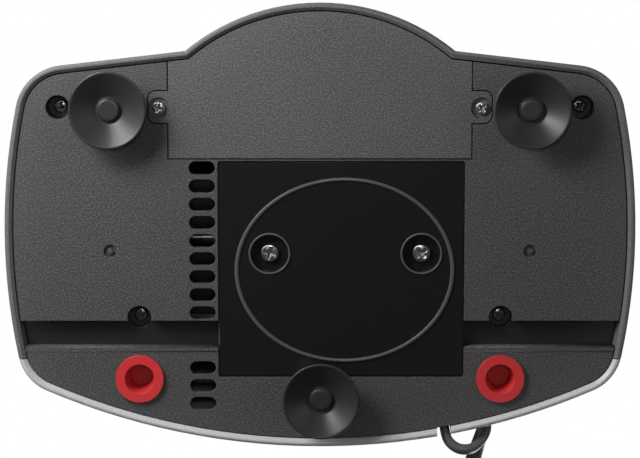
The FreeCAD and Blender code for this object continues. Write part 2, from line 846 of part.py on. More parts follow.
for name, centre in (("left", S.motor_screw_left), ("right", S.motor_screw_right)):
    inner = S.stator_left if name == "left" else S.stator_right
    half = S.bracket_thickness / 2
    foot_low = S.base_height + S.panel_sink + S.motor_recess_depth + 1.6
    upright = box((centre - half, axis_y - S.bracket_half_width, foot_low + 3),
                  (centre + half, axis_y + S.bracket_half_width, S.bracket_high))
    foot = cylinder(S.bracket_foot_radius, 10, (centre, axis_y, foot_low))
    boss = cylinder(S.bearing_radius + S.bearing_boss_wall, S.bearing_width,
                    (centre - S.bearing_width / 2, axis_y, axis_z), ALONG_X)
    reach = inner - centre if name == "left" else centre - inner
    start = centre if name == "left" else inner
    posts = [cylinder(S.post_radius, reach, (start, axis_y + side * (S.bracket_half_width - S.post_radius),
                                             S.stator_low + S.post_radius + 1), ALONG_X) for side in sides]
    seat = cylinder(S.bearing_radius + 0.05, S.bearing_width + 2,
                    (centre - S.bearing_width / 2 - 1, axis_y, axis_z), ALONG_X)
    pilot = cylinder(S.motor_screw_radius + S.screw_clearance, S.motor_screw_length + 0.5,
                     (centre, axis_y, foot_low - 1.6))
    node(f"bearing_bracket_{name}", cut(fuse([upright, foot, boss] + posts), [seat, pilot]))
    ring = cylinder(S.bearing_radius, S.bearing_width, (centre - S.bearing_width / 2, axis_y, axis_z), ALONG_X)
    ring_bore = cylinder(S.shaft_radius + S.running_clearance, S.bearing_width + 2,
                         (centre - S.bearing_width / 2 - 1, axis_y, axis_z), ALONG_X)
    node(f"bearing_{name}", cut(ring, [ring_bore]))

# Cooling fan
blade_count = int(S.fan_blades.value)
fan_start = S.fan_place.value - S.fan_width.value / 2
centre_line = (axis_y.value, axis_z.value)
fan_parts = [rod(S.fan_hub_radius, S.fan_width, (fan_start, *centre_line), (1, 0, 0)),
             rod(S.fan_radius, 1.0, (fan_start, *centre_line), (1, 0, 0))]
for index in range(blade_count):
    blade = block((fan_start, S.fan_hub_radius.value - 1, -0.6),
                  (fan_start + S.fan_width.value, S.fan_radius.value - 0.5, 0.6))
    blade.rotate(Vector(0, 0, 0), Vector(1, 0, 0), 360.0 * index / blade_count)
    blade.translate(Vector(0, *centre_line))
    fan_parts.append(blade)
fan_shape = joined(fan_parts)
node("cooling_fan", feature(without(fan_shape, [rod(bore, FAR, (-FAR / 2, *centre_line), (1, 0, 0))])))


# Blade guides with two leaning slots each
def leaning_slot(centre, side):
    """A V-shaped channel along Y that leans away from the wheel as it rises."""
    slope = math.tan(math.radians(S.slot_lean.value))
    run = S.slot_run.value
    low = S.slot_floor.value
    half_low = S.slot_floor_width.value / 2
    half_top = S.slot_top_width.value / 2
    foot = S.slot_offset.value
    head = foot + run * slope
    corners = [(foot - half_low, low), (foot + half_low, low), (head + half_top, low + run),
               (head - half_top, low + run)]
    points = [Vector(centre + side * across, -FAR, height) for across, height in corners]
    return Part.Face(Part.makePolygon(points + points[:1])).extrude(Vector(0, 2 * FAR, 0))


wheel_room = S.wheel_radius.value + S.wheel_room.value
for name, centre in guide_centres.items():
    body = outer_form.common(guide_box(centre, 0.0))
    cavity = rod(wheel_room, 2 * (S.slot_offset.value + 1.0),
                 (centre - S.slot_offset.value - 1.0, *centre_line), (1, 0, 0))
    slots = [leaning_slot(centre, side) for side in sides]
    node(f"blade_guide_{name}", feature(without(body, slots + [cavity])))

# Dust chambers between each wheel and its cleanout port
for name, centre in guide_centres.items():
    wall = S.chamber_wall.value

    def chamber(inset, top):
        floor = S.chamber_floor.value + inset
        front = S.chamber_front.value + inset
        rear = S.chamber_rear.value - inset
        half = S.chamber_half_width.value - inset
        wide = side_prism([(front, top), (front, floor + 8), (front + 8, floor), (rear, floor), (rear, top)],
                          centre - half, centre + half)
        half = S.chute_half_width.value - inset
        end = S.plug_row.value + S.chute_end.value - inset
        narrow = side_prism([(0, floor), (end, floor), (end, floor + 2), (rear, floor + 24), (0, floor + 24)],
                            centre - half, centre + half)
        return joined([wide, narrow])

    body = chamber(0.0, guide_low - 0.1)
    hollow = chamber(wall, guide_low + 1)
    boss = rod(S.boss_radius, S.chamber_floor.value - boss_low + 4, (centre, S.rear_screw_row, boss_low))
    port = rod(S.plug_radius - 1.0, 2 * wall + 1, (centre, S.plug_row, S.chamber_floor.value - wall))
    passage = rod(S.shaft_radius + 1.0, FAR, (-FAR / 2, *centre_line), (1, 0, 0))
    pilot = rod(screw_hole, hole_depth - 2, (centre, S.rear_screw_row, boss_low - 1))
    node(f"wheel_chamber_{name}", feature(without(joined([body.cut(hollow), boss]), [port, passage, pilot])))

# Switch body and rocker, drawn level and then set on the hood
half_length = S.switch_half_length.value
half_width = S.switch_half_width.value
flange = S.switch_flange.value
flange_high = S.switch_flange_height.value
depth = S.switch_depth.value
switch_shape = joined([
    rounded_block((-half_width - flange, -half_length - flange, 0.05),
                  (half_width + flange, half_length + flange, flange_high), 3.0),
    block((-half_width, -half_length, -depth), (half_width, half_length, flange_high))])
thin = S.switch_wall.value
pivot = -S.rocker_pivot.value
pin_reach = half_width - 0.4
switch_shape = without(switch_shape, [
    block((-half_width + thin, -half_length + 0.9, -11.2), (half_width - thin, half_length - 0.9, 20)),
    rod(S.rocker_pin + S.running_clearance, 2 * pin_reach + 0.2, (-pin_reach - 0.1, 0, pivot), (1, 0, 0))])
node("switch_body", feature(on_hood(switch_shape)))

reach = S.rocker_half_length.value
rise = S.rocker_rise.value
outline = [(-reach, rise), (0, rise * 0.3), (reach, rise), (reach, -2.0), (4.5, -9.0), (-4.5, -9.0), (-reach, -2.0)]
rocker = side_prism(outline, -S.rocker_half_width.value, S.rocker_half_width.value)
long_edges = [edge for edge in rocker.Edges if edge.BoundBox.ZMin > -1.9 and edge.BoundBox.XLength > 1
              and abs(edge.BoundBox.YMax) > 1]
rocker = rocker.makeFillet(0.8, long_edges)
rocker = joined([rocker, rod(S.rocker_pin, 2 * pin_reach, (-pin_reach, 0, pivot), (1, 0, 0))])
rocker.rotate(Vector(0, 0, pivot), Vector(1, 0, 0), -S.rocker_travel.value / 2)
rocker_pivot = switch_spot.multVec(Vector(0, 0, pivot))
print("rocker hinge", [round(value, 3) for value in rocker_pivot])
node("rocker_button", feature(on_hood(rocker)))


# Supply lead: straight runs joined by arcs as large as the runs allow
def bend_path(points, share=0.45):
    """Edges of a route, and its length and bend radii."""
    edges = []
    radii = []
    start = points[0]
    for before, corner, after in zip(points, points[1:], points[2:]):
        to_before = before - corner
        to_after = after - corner
        shorter = min(to_before.Length, to_after.Length)
        back = Vector(to_before).normalize()
        on = Vector(to_after).normalize()
        turn = math.pi - back.getAngle(on)
        radius = share * shorter / math.tan(turn / 2)
        radii.append(radius)
        reach = share * shorter
        first = corner + back * reach
        last = corner + on * reach
        inward = (back + on).normalize()
        middle = corner + inward * (radius / math.cos(turn / 2) - radius)
        edges.append(Part.makeLine(start, first))
        edges.append(Part.Arc(first, middle, last).toShape())
        start = last
    edges.append(Part.makeLine(start, points[-1]))
    return edges, radii


def lead_section(at, along, wide):
    """The flat twin section: two joined rounds, square to the route."""
    wide = Vector(wide).normalize()
    along = Vector(along).normalize()
    across = along.cross(wide).normalize()
    radius = S.lead_thickness.value / 2
    reach = S.lead_width.value / 2 - radius
    ends = [at + wide * (side * reach) for side in sides]
    corners = [ends[1] + across * radius, ends[0] + across * radius, ends[0] - across * radius,
               ends[1] - across * radius]
    tips = [ends[1] + wide * radius, ends[0] - wide * radius]
    return Part.Wire([Part.makeLine(corners[0], corners[1]),
                      Part.Arc(corners[1], tips[1], corners[2]).toShape(),
                      Part.makeLine(corners[2], corners[3]),
                      Part.Arc(corners[3], tips[0], corners[0]).toShape()])


def lead_sweep(edges, wide=Vector(0, 0, 1)):
    path = Part.Wire(edges)
    start = edges[0].Vertexes[0].Point
    section = lead_section(start, edges[0].tangentAt(edges[0].FirstParameter), wide)
    solid = path.makePipeShell([section], True, False)
    area = Part.Face(section).Area
    print("lead volume over section times length", round(solid.Volume / (area * path.Length), 4))
    return solid, path


half_lead = S.lead_width.value / 2
exit_x = S.lead_exit_place.value
coil_x = S.coil_centre_place.value
coil_y = S.coil_centre_row.value
outer_turn = S.coil_outer_radius.value
floor_level = half_lead + S.floor_gap.value
straight = S.coil_straight.value
coil_start = Vector(coil_x + outer_turn, coil_y - straight, floor_level)
LEAD_ROUTE = [
    (exit_x, S.relief_rear.value, 15.0), (42.1, 71.5, 13.4), (46.0, 75.9, 11.2), (51.9, 75.9, 11.2), (55.8, 71.9, 14.0),
    (56.8, 69.6, 21.5), (57.5, 70.6, 31.0), (58.2, 76.6, 38.6), (56.4, 83.6, 41.8), (53.2, 90.5, 40.4),
    (52.6, 97.5, 33.0), (53.6, 102.4, 23.0), (55.8, 107.6, 11.5), (58.5, 116.8, floor_level),
]
route = [Vector(*point) for point in LEAD_ROUTE] + [coil_start]
lead_edges, lead_radii = bend_path(route)
lead, lead_path = lead_sweep(lead_edges)
print("lead radii", [round(radius, 1) for radius in lead_radii])
node("power_cord", feature(lead))


def biarc(start, start_way, end, end_way):
    """Two arcs from one place and way to another."""
    span = end - start
    total = start_way + end_way
    squared = 2 * (1 - start_way.dot(end_way))
    if squared < 1e-9:
        return [Part.makeLine(start, end)]
    along = span.dot(total)
    reach = (-along + math.sqrt(along * along + squared * span.dot(span))) / squared
    middle = (start + end + (start_way - end_way) * reach) * 0.5
    return [arc_from(start, start_way, middle), arc_from(end, end_way * -1, middle, True)]


def arc_from(start, way, end, backwards=False):
    chord = end - start
    side = chord - way * chord.dot(way)
    side.normalize()
    radius = chord.dot(chord) / (2 * chord.dot(side))
    centre = start + side * radius
    halfway = (start + end) * 0.5 - centre
    top = centre + halfway.normalize() * radius
    if backwards:
        return Part.Arc(end, top, start).toShape()
    return Part.Arc(start, top, end).toShape()


# Coil of the put-away length: a lower layer that winds in and an upper one that winds out
half_turns = int(S.coil_half_turns.value)
step = S.coil_pitch.value / 2
lower = [outer_turn - step * index for index in range(half_turns + 1)]
upper = [lower[-1] - step] + [lower[-1] + step * (index + 2) for index in range(half_turns - 1)]
radii = lower + upper
top_level = floor_level + S.coil_layer.value
levels = [floor_level] * len(lower) + [top_level] * len(upper)
stations = []
for index, (radius, level) in enumerate(zip(radii, levels)):
    side = 1 if index % 2 == 0 else -1
    stations.append((Vector(coil_x + side * radius, coil_y, level), Vector(0, side, 0)))
last_side = stations[-1][1].y
stations.append((Vector(coil_x, coil_y + last_side * (radii[-1] + step / 2), top_level), Vector(-last_side, 0, 0)))
coil_edges = [Part.makeLine(coil_start, stations[0][0])]
for (here, way), (there, next_way) in zip(stations, stations[1:]):
    coil_edges += biarc(here, way, there, next_way)
last_spot, last_way = stations[-1]
coil_end = last_spot + last_way * S.coil_tail.value
coil_edges.append(Part.makeLine(last_spot, coil_end))
coil, coil_path = lead_sweep(coil_edges)
sample_count = 1500
samples = coil_path.discretize(sample_count)
apart = int(sample_count * 40.0 / coil_path.Length)
near = min((abs(math.hypot(samples[i].x - samples[j].x, samples[i].y - samples[j].y)) - S.lead_thickness.value)
           for i in range(0, sample_count, 3) for j in range(i + apart, sample_count, 3)
           if abs(samples[i].z - samples[j].z) < S.lead_width.value)
print("coil gap to itself across", round(near, 2), "between layers", S.coil_layer.value - S.lead_width.value)
print("lead lengths", round(lead_path.Length, 1), round(coil_path.Length, 1),
      round(lead_path.Length + coil_path.Length, 1))
node("cord_coil", feature(coil))

# Tie round both layers of the coil, standing on the floor's side of it
inner_turn = min(radii)
wide_turn = max(radii) + step / 2
tie_gap = 0.35
half_wide = S.lead_thickness.value / 2
tie_in = inner_turn - half_wide - tie_gap
tie_out = wide_turn + half_wide + tie_gap
tie_high = floor_level + S.coil_layer.value + half_lead + tie_gap
thick = S.tie_thickness.value
tie_half = S.tie_width.value / 2
hoop = side_prism([(tie_in - thick, 0.6), (tie_out + thick, 0.6), (tie_out + thick, tie_high + thick),
                   (tie_in - thick, tie_high + thick)], -tie_half, tie_half)
hollow = side_prism([(tie_in, -1), (tie_out, -1), (tie_out, tie_high), (tie_in, tie_high)],
                    -tie_half - 1, tie_half + 1)
tie = hoop.cut(hollow)
tie.translate(Vector(coil_x, coil_y, 0))
node("cord_tie", feature(tie))

# Two-pin plug on the end of the coil, lying on the floor
way = last_way.x
half_plug = S.plug_width.value / 2
half_high = coil_end.z - S.floor_gap.value
near_x, far_x = sorted((coil_end.x, coil_end.x + way * S.plug_length.value))
plug_shape = rounded_block((near_x, coil_end.y - half_plug, coil_end.z - half_high),
                           (far_x, coil_end.y + half_plug, coil_end.z + half_high), S.plug_corner.value)
node("plug_body", feature(plug_shape))
face_x = coil_end.x + way * S.plug_length.value
blades = []
for side in sides:
    y = coil_end.y + side * S.blade_spacing.value / 2
    low_x, high_x = sorted((face_x, face_x + way * S.blade_length.value))
    blades.append(block((low_x, y - S.blade_thickness.value / 2, coil_end.z - S.blade_width.value / 2),
                        (high_x, y + S.blade_thickness.value / 2, coil_end.z + S.blade_width.value / 2)))
node("plug_blades", feature(Part.makeCompound(blades)))

# Strain relief inside the notch
relief_x = S.relief_half_width.value
relief_front = S.relief_rear.value - S.relief_length.value
relief = block((exit_x - relief_x, relief_front, S.relief_low), (exit_x + relief_x, S.relief_rear, S.relief_high))
node("strain_relief", feature(relief))

# Leads from the strain relief to the switch
inner_leads = []
terminal = switch_spot.multVec(Vector(0, 0, -depth))
for index, side in enumerate(sides):
    spread = side * 2.0
    level = S.inner_lead_level.value
    turn = S.inner_lead_turn.value
    points = [Vector(exit_x + 1.0 + spread, relief_front, level - 0.5),
              Vector(exit_x + 1.0 + spread, S.inner_lead_bend.value, level),
              Vector(exit_x + 1.5 + spread, S.inner_lead_front.value, level),
              Vector(terminal.x + turn, spread - turn, level),
              Vector(terminal.x + 6.0 + spread, terminal.y + 7, level + 1.0),
              Vector(terminal.x + spread * 1.5, terminal.y + 1.5, terminal.z - 0.2)]
    edges, _ = bend_path(points)
    circle = Part.Wire([Part.makeCircle(S.inner_lead_radius.value, points[0], points[1] - points[0])])
    inner_leads.append(Part.Wire(edges).makePipeShell([circle], True, False))
node("switch_leads", feature(Part.makeCompound(inner_leads)))

doc.recompute()

for thing in doc.Objects:
    if {"Invalid", "Error"} & set(thing.State):
        raise RuntimeError(f"{thing.Label} did not compute: {thing.State}")

os.makedirs("parts", exist_ok=True)
for name, thing in nodes.items():
    shape = thing.Shape
    if shape.isNull() or not shape.isValid() or not shape.Solids:
        raise RuntimeError(f"{name} has no sound shape")
    if any(solid.Volume <= 0 for solid in shape.Solids):
        raise RuntimeError(f"{name} holds a solid with no volume")
    shape.exportStep(f"parts/{name}.step")
    print(name, len(shape.Solids), round(shape.Volume, 1),
          [round(value, 1) for value in (shape.BoundBox.XMin, shape.BoundBox.XMax, shape.BoundBox.YMin,
                                         shape.BoundBox.YMax, shape.BoundBox.ZMin, shape.BoundBox.ZMax)])
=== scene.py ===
"""Studio scene of a two-stage electric knife sharpener, seen from below."""
import logging
import math
from dataclasses import dataclass, field
from enum import Enum
from typing import Optional, Sequence, Union

import bmesh
import bpy
from mathutils import Matrix, Quaternion, Vector

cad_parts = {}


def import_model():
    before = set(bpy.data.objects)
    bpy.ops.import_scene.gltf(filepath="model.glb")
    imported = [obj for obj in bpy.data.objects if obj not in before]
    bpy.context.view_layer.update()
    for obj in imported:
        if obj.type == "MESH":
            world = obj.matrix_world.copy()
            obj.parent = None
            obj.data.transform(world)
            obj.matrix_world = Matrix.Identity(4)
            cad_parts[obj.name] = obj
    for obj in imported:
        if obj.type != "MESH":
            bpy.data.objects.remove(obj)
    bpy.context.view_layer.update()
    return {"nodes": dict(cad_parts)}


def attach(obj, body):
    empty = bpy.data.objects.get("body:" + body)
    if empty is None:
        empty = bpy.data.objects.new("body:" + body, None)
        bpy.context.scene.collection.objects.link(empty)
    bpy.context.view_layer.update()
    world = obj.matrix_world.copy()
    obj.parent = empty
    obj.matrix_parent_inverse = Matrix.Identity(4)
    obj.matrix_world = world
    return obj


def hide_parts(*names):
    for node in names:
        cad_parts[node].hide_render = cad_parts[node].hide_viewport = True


LOG = logging.getLogger("sharpener")
MM = 0.001
Colour = tuple[float, float, float]
Number = Union[float, "Wire"]
MOTOR_SCREW_PLACES = ((-16.8, 8.85), (33.8, 8.85))


def grey(level: int) -> Colour:
    """Return the linear grey of an sRGB level from 0 to 255.

    Args:
        level: The sRGB level.

    Returns:
        The linear colour.
    """
    share = level / 255
    linear = share / 12.92 if share <= 0.04045 else ((share + 0.055) / 1.055) ** 2.4
    return (linear, linear, linear)


class Wire:
    """A shader socket that takes part in sums, differences, products and quotients."""

    def __init__(self, nodes: "Nodes", socket: bpy.types.NodeSocket) -> None:
        """Keep the socket and the nodes that it belongs to."""
        self.nodes = nodes
        self.socket = socket

    def _math(self, operation: str, first: Number, second: Number) -> "Wire":
        """Return the result of one Math node."""
        return self.nodes.node("ShaderNodeMath", {"operation": operation}, {0: first, 1: second})

    def __add__(self, other: Number) -> "Wire":
        """Add."""
        return self._math("ADD", self, other)

    __radd__ = __add__

    def __sub__(self, other: Number) -> "Wire":
        """Subtract the other from this."""
        return self._math("SUBTRACT", self, other)

    def __rsub__(self, other: Number) -> "Wire":
        """Subtract this from the other."""
        return self._math("SUBTRACT", other, self)

    def __mul__(self, other: Number) -> "Wire":
        """Multiply."""
        return self._math("MULTIPLY", self, other)

    __rmul__ = __mul__

    def __truediv__(self, other: Number) -> "Wire":
        """Divide this by the other."""
        return self._math("DIVIDE", self, other)

    def eased(self, low: float, high: float) -> "Wire":
        """Return a smooth step from 0 at low to 1 at high.

        Args:
            low: Where the step starts.
            high: Where the step ends.

        Returns:
            The step.
        """
        settings = {"interpolation_type": "SMOOTHSTEP"}
        return self.nodes.node("ShaderNodeMapRange", settings, {0: self, 1: low, 2: high})


class Nodes:
    """The nodes of one material or of the surround."""

    def __init__(self, tree: bpy.types.NodeTree) -> None:
        """Keep the tree that takes the nodes."""
        self.tree = tree

    def node(self, kind: str, settings: Optional[dict] = None, inputs: Optional[dict] = None,
             output: Union[int, str] = 0) -> Wire:
        """Add one node.

        Args:
            kind: The node's type.
            settings: Properties set before the inputs, such as an operation.
            inputs: Values or wires, by socket name or number.
            output: The socket to return.

        Returns:
            The chosen output.
        """
        made = self.tree.nodes.new(kind)
        for name, value in (settings or {}).items():
            setattr(made, name, value)
        for name, value in (inputs or {}).items():
            self.feed(made.inputs[name], value)
        return Wire(self, made.outputs[output])

    def feed(self, socket: bpy.types.NodeSocket, value: Union[Number, Sequence[float]]) -> None:
        """Link a wire to a socket, or set its value.

        Args:
            socket: The socket to feed.
            value: A wire, a number, a vector or a colour.
        """
        if isinstance(value, Wire):
            self.tree.links.new(value.socket, socket)
        elif isinstance(value, (tuple, list)) and len(value) == 3 and socket.type == "RGBA":
            socket.default_value = (*value, 1.0)
        else:
            socket.default_value = value


class Paint(Nodes):
    """One material and the nodes in it."""

    def __init__(self, name: str) -> None:
        """Make an empty material with its Principled shader."""
        self.material = bpy.data.materials.new(name)
        self.material.use_nodes = True
        super().__init__(self.material.node_tree)
        self.shader = self.tree.nodes["Principled BSDF"]

    def set(self, **inputs: Union[Number, Sequence[float]]) -> None:
        """Set the shader's inputs, with underscores for spaces in their names."""
        for name, value in inputs.items():
            self.feed(self.shader.inputs[name.replace("_", " ")], value)

    def place(self) -> Wire:
        """Return the place on the object."""
        return self.node("ShaderNodeTexCoord", output="Object")

    def axes(self) -> tuple[Wire, Wire, Wire]:
        """Return the place's X, Y and Z."""
        split = self.node("ShaderNodeSeparateXYZ", inputs={0: self.place()})
        return tuple(Wire(self, split.socket.node.outputs[index]) for index in range(3))

    def noise(self, grain: float, detail: float = 2.0, roughness: float = 0.5) -> Wire:
        """Return noise whose features are grain metres across."""
        return self.node("ShaderNodeTexNoise", inputs={"Vector": self.place(), "Scale": 1 / grain,
                                                       "Detail": detail, "Roughness": roughness})

    def blend(self, share: Number, first: Union[Wire, Colour], second: Union[Wire, Colour]) -> Wire:
        """Return a colour between two colours."""
        return self.node("ShaderNodeMix", {"data_type": "RGBA"}, {0: share, 6: first, 7: second}, 2)

    def bump(self, height: Wire, depth: float, strength: float = 1.0, under: Optional[Wire] = None) -> Wire:
        """Return a normal that follows a height of depth metres.

        Args:
            height: The height, from 0 to 1.
            depth: The height's full depth, in metres.
            strength: How far the normal follows it.
            under: The normal that it adds to.

        Returns:
            The normal.
        """
        inputs = {"Height": height, "Distance": depth, "Strength": strength}
        if under is not None:
            inputs["Normal"] = under
        return self.node("ShaderNodeBump", inputs=inputs)

    def worn_edge(self, radius: float) -> Wire:
        """Return a normal that rounds sharp edges over a small radius."""
        return self.node("ShaderNodeBevel", {"samples": 4}, {"Radius": radius})


@dataclass(frozen=True)
class TexturedPlastic:
    """Spark-eroded plastic with a fine leathery grain."""

    name: str
    colour: Colour
    light: Colour
    roughness: float = 0.5
    grain: float = 0.5 * MM
    relief: float = 0.06 * MM
    mottle: float = 0.8
    edge: float = 0.35 * MM

    def make(self) -> bpy.types.Material:
        """Return the material.

        Returns:
            The material.
        """
        paint = Paint(self.name)
        fine = paint.noise(self.grain, 2.0, 0.6)
        broad = paint.noise(40 * self.grain, 2.0)
        dark = tuple(0.8 * part for part in self.colour)
        base = paint.blend(broad, self.colour, dark)
        paint.set(Base_Color=paint.blend(fine.eased(0.42, 0.7) * self.mottle, base, self.light),
                  Roughness=self.roughness + (fine - 0.5) * 0.3,
                  Normal=paint.bump(fine, self.relief, 1.0, paint.worn_edge(self.edge)),
                  Specular_IOR_Level=0.45)
        return paint.material


@dataclass(frozen=True)
class SmoothPlastic:
    """Moulded plastic, from satin to polished."""

    name: str
    colour: Colour
    roughness: float = 0.3
    ripple: float = 0.004 * MM
    smear: float = 0.06
    edge: float = 0.3 * MM
    specular: float = 0.5

    def make(self) -> bpy.types.Material:
        """Return the material.

        Returns:
            The material.
        """
        paint = Paint(self.name)
        wave = paint.noise(9 * MM, 3.0)
        fine = paint.noise(0.9 * MM, 2.0)
        darker = tuple(0.86 * part for part in self.colour)
        paint.set(Base_Color=paint.blend(wave, self.colour, darker),
                  Roughness=self.roughness + (wave - 0.5) * self.smear * 2,
                  Normal=paint.bump(fine, self.ripple, 1.0, paint.worn_edge(self.edge)),
                  Specular_IOR_Level=self.specular)
        return paint.material


@dataclass(frozen=True)
class Metal:
    """Turned or plated metal with fine scratches."""

    name: str
    colour: Colour
    roughness: float = 0.32
    grain: float = 0.25 * MM

    def make(self) -> bpy.types.Material:
        """Return the material.

        Returns:
            The material.
        """
        paint = Paint(self.name)
        scratch = paint.noise(self.grain, 4.0, 0.7)
        cloud = paint.noise(5 * MM, 2.0)
        dull = tuple(0.7 * part for part in self.colour)
        paint.set(Base_Color=paint.blend(cloud, self.colour, dull), Metallic=1.0,
                  Roughness=self.roughness + (cloud - 0.5) * 0.2,
                  Normal=paint.bump(scratch, 0.01 * MM, 0.6, paint.worn_edge(0.15 * MM)))
        return paint.material


@dataclass(frozen=True)
class Grit:
    """Bonded abrasive grains."""

    name: str
    colour: Colour
    sparkle: Colour
    grain: float

    def make(self) -> bpy.types.Material:
        """Return the material.

        Returns:
            The material.
        """
        paint = Paint(self.name)
        cells = paint.node("ShaderNodeTexVoronoi", inputs={"Vector": paint.place(), "Scale": 1 / self.grain})
        paint.set(Base_Color=paint.blend(cells.eased(0.25, 0.6), self.sparkle, self.colour),
                  Roughness=0.75 - cells * 0.4, Normal=paint.bump(cells, self.grain * 0.4, 0.9))
        return paint.material


@dataclass(frozen=True)
class Laminations:
    """Stacked sheet steel, or wound wire, with fine lines along one axis."""

    name: str
    colour: Colour
    gap_colour: Colour
    pitch: float
    axis: int = 0
    metallic: float = 0.9

    def make(self) -> bpy.types.Material:
        """Return the material.

        Returns:
            The material.
        """
        paint = Paint(self.name)
        lines = paint.node("ShaderNodeMath", {"operation": "PINGPONG"},
                           {0: paint.axes()[self.axis], 1: self.pitch / 2}) / (self.pitch / 2)
        body = lines.eased(0.05, 0.4)
        paint.set(Base_Color=paint.blend(body, self.gap_colour, self.colour), Metallic=self.metallic,
                  Roughness=0.55 - body * 0.15, Normal=paint.bump(lines, 0.1 * MM, 0.8))
        return paint.material


class Finish(Enum):
    """The finishes of the sharpener's pieces."""

    CHARCOAL_RIM = TexturedPlastic("charcoal_rim", grey(90), grey(114), 0.5, 0.45 * MM, 0.03 * MM)
    CHARCOAL_BASE = TexturedPlastic("charcoal_base", grey(58), grey(100))
    CHARCOAL_COVER = TexturedPlastic("charcoal_cover", grey(70), grey(112))
    SILVER = TexturedPlastic("silver_shell", grey(188), grey(194), 0.4, 0.5 * MM, 0.004 * MM)
    # Painted shade: the band's floor and walls are coloured near black for the shade deep in the groove; the
    # smooth, untextured surface is real.
    SMOOTH_BAND_PAINTED_SHADE = SmoothPlastic("smooth_band_painted_shade", grey(27), 0.4)
    PIANO_BLACK = SmoothPlastic("piano_black", grey(26), 0.14)
    # Painted highlight: the ring and collars belong to the gloss black cover but are coloured lighter grey so that
    # they show as lit lines.
    RIDGE_PAINTED_HIGHLIGHT = SmoothPlastic("ridge_painted_highlight", grey(80), 0.2)
    SATIN_BLACK = SmoothPlastic("satin_black", grey(34), 0.42)
    FOOT_RUBBER = SmoothPlastic("foot_rubber", grey(46), 0.33, 0.003 * MM)
    RED = SmoothPlastic("red_plastic", (0.60, 0.035, 0.038), 0.34)
    PLATED_STEEL = Metal("plated_steel", (0.52, 0.52, 0.50))
    # Dark steel: the black-plated base screws, and the motor shaft darkened as painted shade where it lies inside
    # the housing.
    DARK_STEEL_AND_SHADE = Metal("dark_steel_and_painted_shade", (0.36, 0.36, 0.36), 0.22)
    BRIGHT_STEEL = Metal("bright_steel", (0.80, 0.80, 0.78), 0.2)
    BRASS = Metal("brass", (0.78, 0.60, 0.32), 0.28)
    COARSE_GRIT = Grit("coarse_grit", grey(96), grey(190), 0.45 * MM)
    FINE_GRIT = Grit("fine_grit", grey(150), grey(215), 0.22 * MM)
    LAMINATED_STEEL = Laminations("laminated_steel", (0.36, 0.36, 0.37), (0.05, 0.05, 0.05), 0.6 * MM)
    COPPER = Laminations("copper_winding", (0.62, 0.27, 0.12), (0.12, 0.04, 0.02), 0.5 * MM, 2)
    JACKET = SmoothPlastic("lead_jacket", grey(82), 0.3, 0.01 * MM)
    MARKING = SmoothPlastic("white_marking", grey(205), 0.5)


class Wardrobe:
    """Makes each finish once and puts it on pieces."""

    def __init__(self) -> None:
        """Start with no material made."""
        self._made: dict[Finish, bpy.types.Material] = {}

    def material(self, finish: Finish) -> bpy.types.Material:
        """Return the material of a finish."""
        if finish not in self._made:
            self._made[finish] = finish.value.make()
        return self._made[finish]

    def dress(self, piece: bpy.types.Object, finish: Finish) -> bpy.types.Object:
        """Give a piece one finish.

        Args:
            piece: The mesh object.
            finish: The finish.

        Returns:
            The same piece.
        """
        piece.data.materials.clear()
        piece.data.materials.append(self.material(finish))
        return piece


WARDROBE = Wardrobe()


def add_piece(name: str, mesh: bmesh.types.BMesh, finish: Finish, body: str = "root",
              smooth: bool = True) -> bpy.types.Object:
    """Turn a bmesh into a piece that rides on a body.

    Args:
        name: The piece's name.
        mesh: The mesh, which is freed.
        finish: Its finish.
        body: The body that it moves with.
        smooth: Whether its faces are shaded smooth.

    Returns:
        The piece.
    """
    data = bpy.data.meshes.new(name)
    mesh.to_mesh(data)
    mesh.free()
    for polygon in data.polygons:
        polygon.use_smooth = smooth
    piece = bpy.data.objects.new(name, data)
    bpy.context.scene.collection.objects.link(piece)
    WARDROBE.dress(piece, finish)
    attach(piece, body)
    LOG.info("%s: %d faces on %s", name, len(data.polygons), body)
    return piece


def spun(profile: Sequence[tuple[float, float]], place: Sequence[float], steps: int = 64,
         mesh: Optional[bmesh.types.BMesh] = None) -> bmesh.types.BMesh:
    """Turn a (radius, height) line about an upright axis.

    Args:
        profile: The points of the line, in millimetres.
        place: Where the axis meets height 0, in millimetres.
        steps: How many steps make the full turn.
        mesh: The mesh that takes the new faces, or nothing for a new one.

    Returns:
        The mesh.
    """
    mesh = mesh or bmesh.new()
    before = set(mesh.verts)
    dots = [mesh.verts.new((radius * MM, 0.0, height * MM)) for radius, height in profile]
    lines = [mesh.edges.new(pair) for pair in zip(dots, dots[1:])]
    bmesh.ops.spin(mesh, geom=dots + lines, cent=(0, 0, 0), axis=(0, 0, 1), dvec=(0, 0, 0),
                   angle=2 * math.pi, steps=steps, use_merge=True, use_normal_flip=False,
                   use_duplicate=False)
    fresh = [dot for dot in mesh.verts if dot not in before]
    bmesh.ops.remove_doubles(mesh, verts=fresh, dist=0.001 * MM)
    fresh = [dot for dot in mesh.verts if dot not in before]
    bmesh.ops.recalc_face_normals(mesh, faces=mesh.faces)
    bmesh.ops.translate(mesh, verts=fresh, vec=Vector(place) * MM)
    return mesh


def prism(outline: Sequence[tuple[float, float]], low: float, high: float) -> bmesh.types.BMesh:
    """Push a (y, z) outline out along X.

    Args:
        outline: The corners of the outline, in millimetres.
        low: The X where it starts, in millimetres.
        high: The X where it ends, in millimetres.

    Returns:
        A closed mesh.
    """
    mesh = bmesh.new()
    corners = [mesh.verts.new(Vector((low, y, z)) * MM) for y, z in outline]
    face = mesh.faces.new(corners)
    grown = bmesh.ops.extrude_face_region(mesh, geom=[face], use_keep_orig=True)["geom"]
    moved = [part for part in grown if isinstance(part, bmesh.types.BMVert)]
    bmesh.ops.translate(mesh, verts=moved, vec=((high - low) * MM, 0, 0))
    bmesh.ops.recalc_face_normals(mesh, faces=mesh.faces)
    return mesh


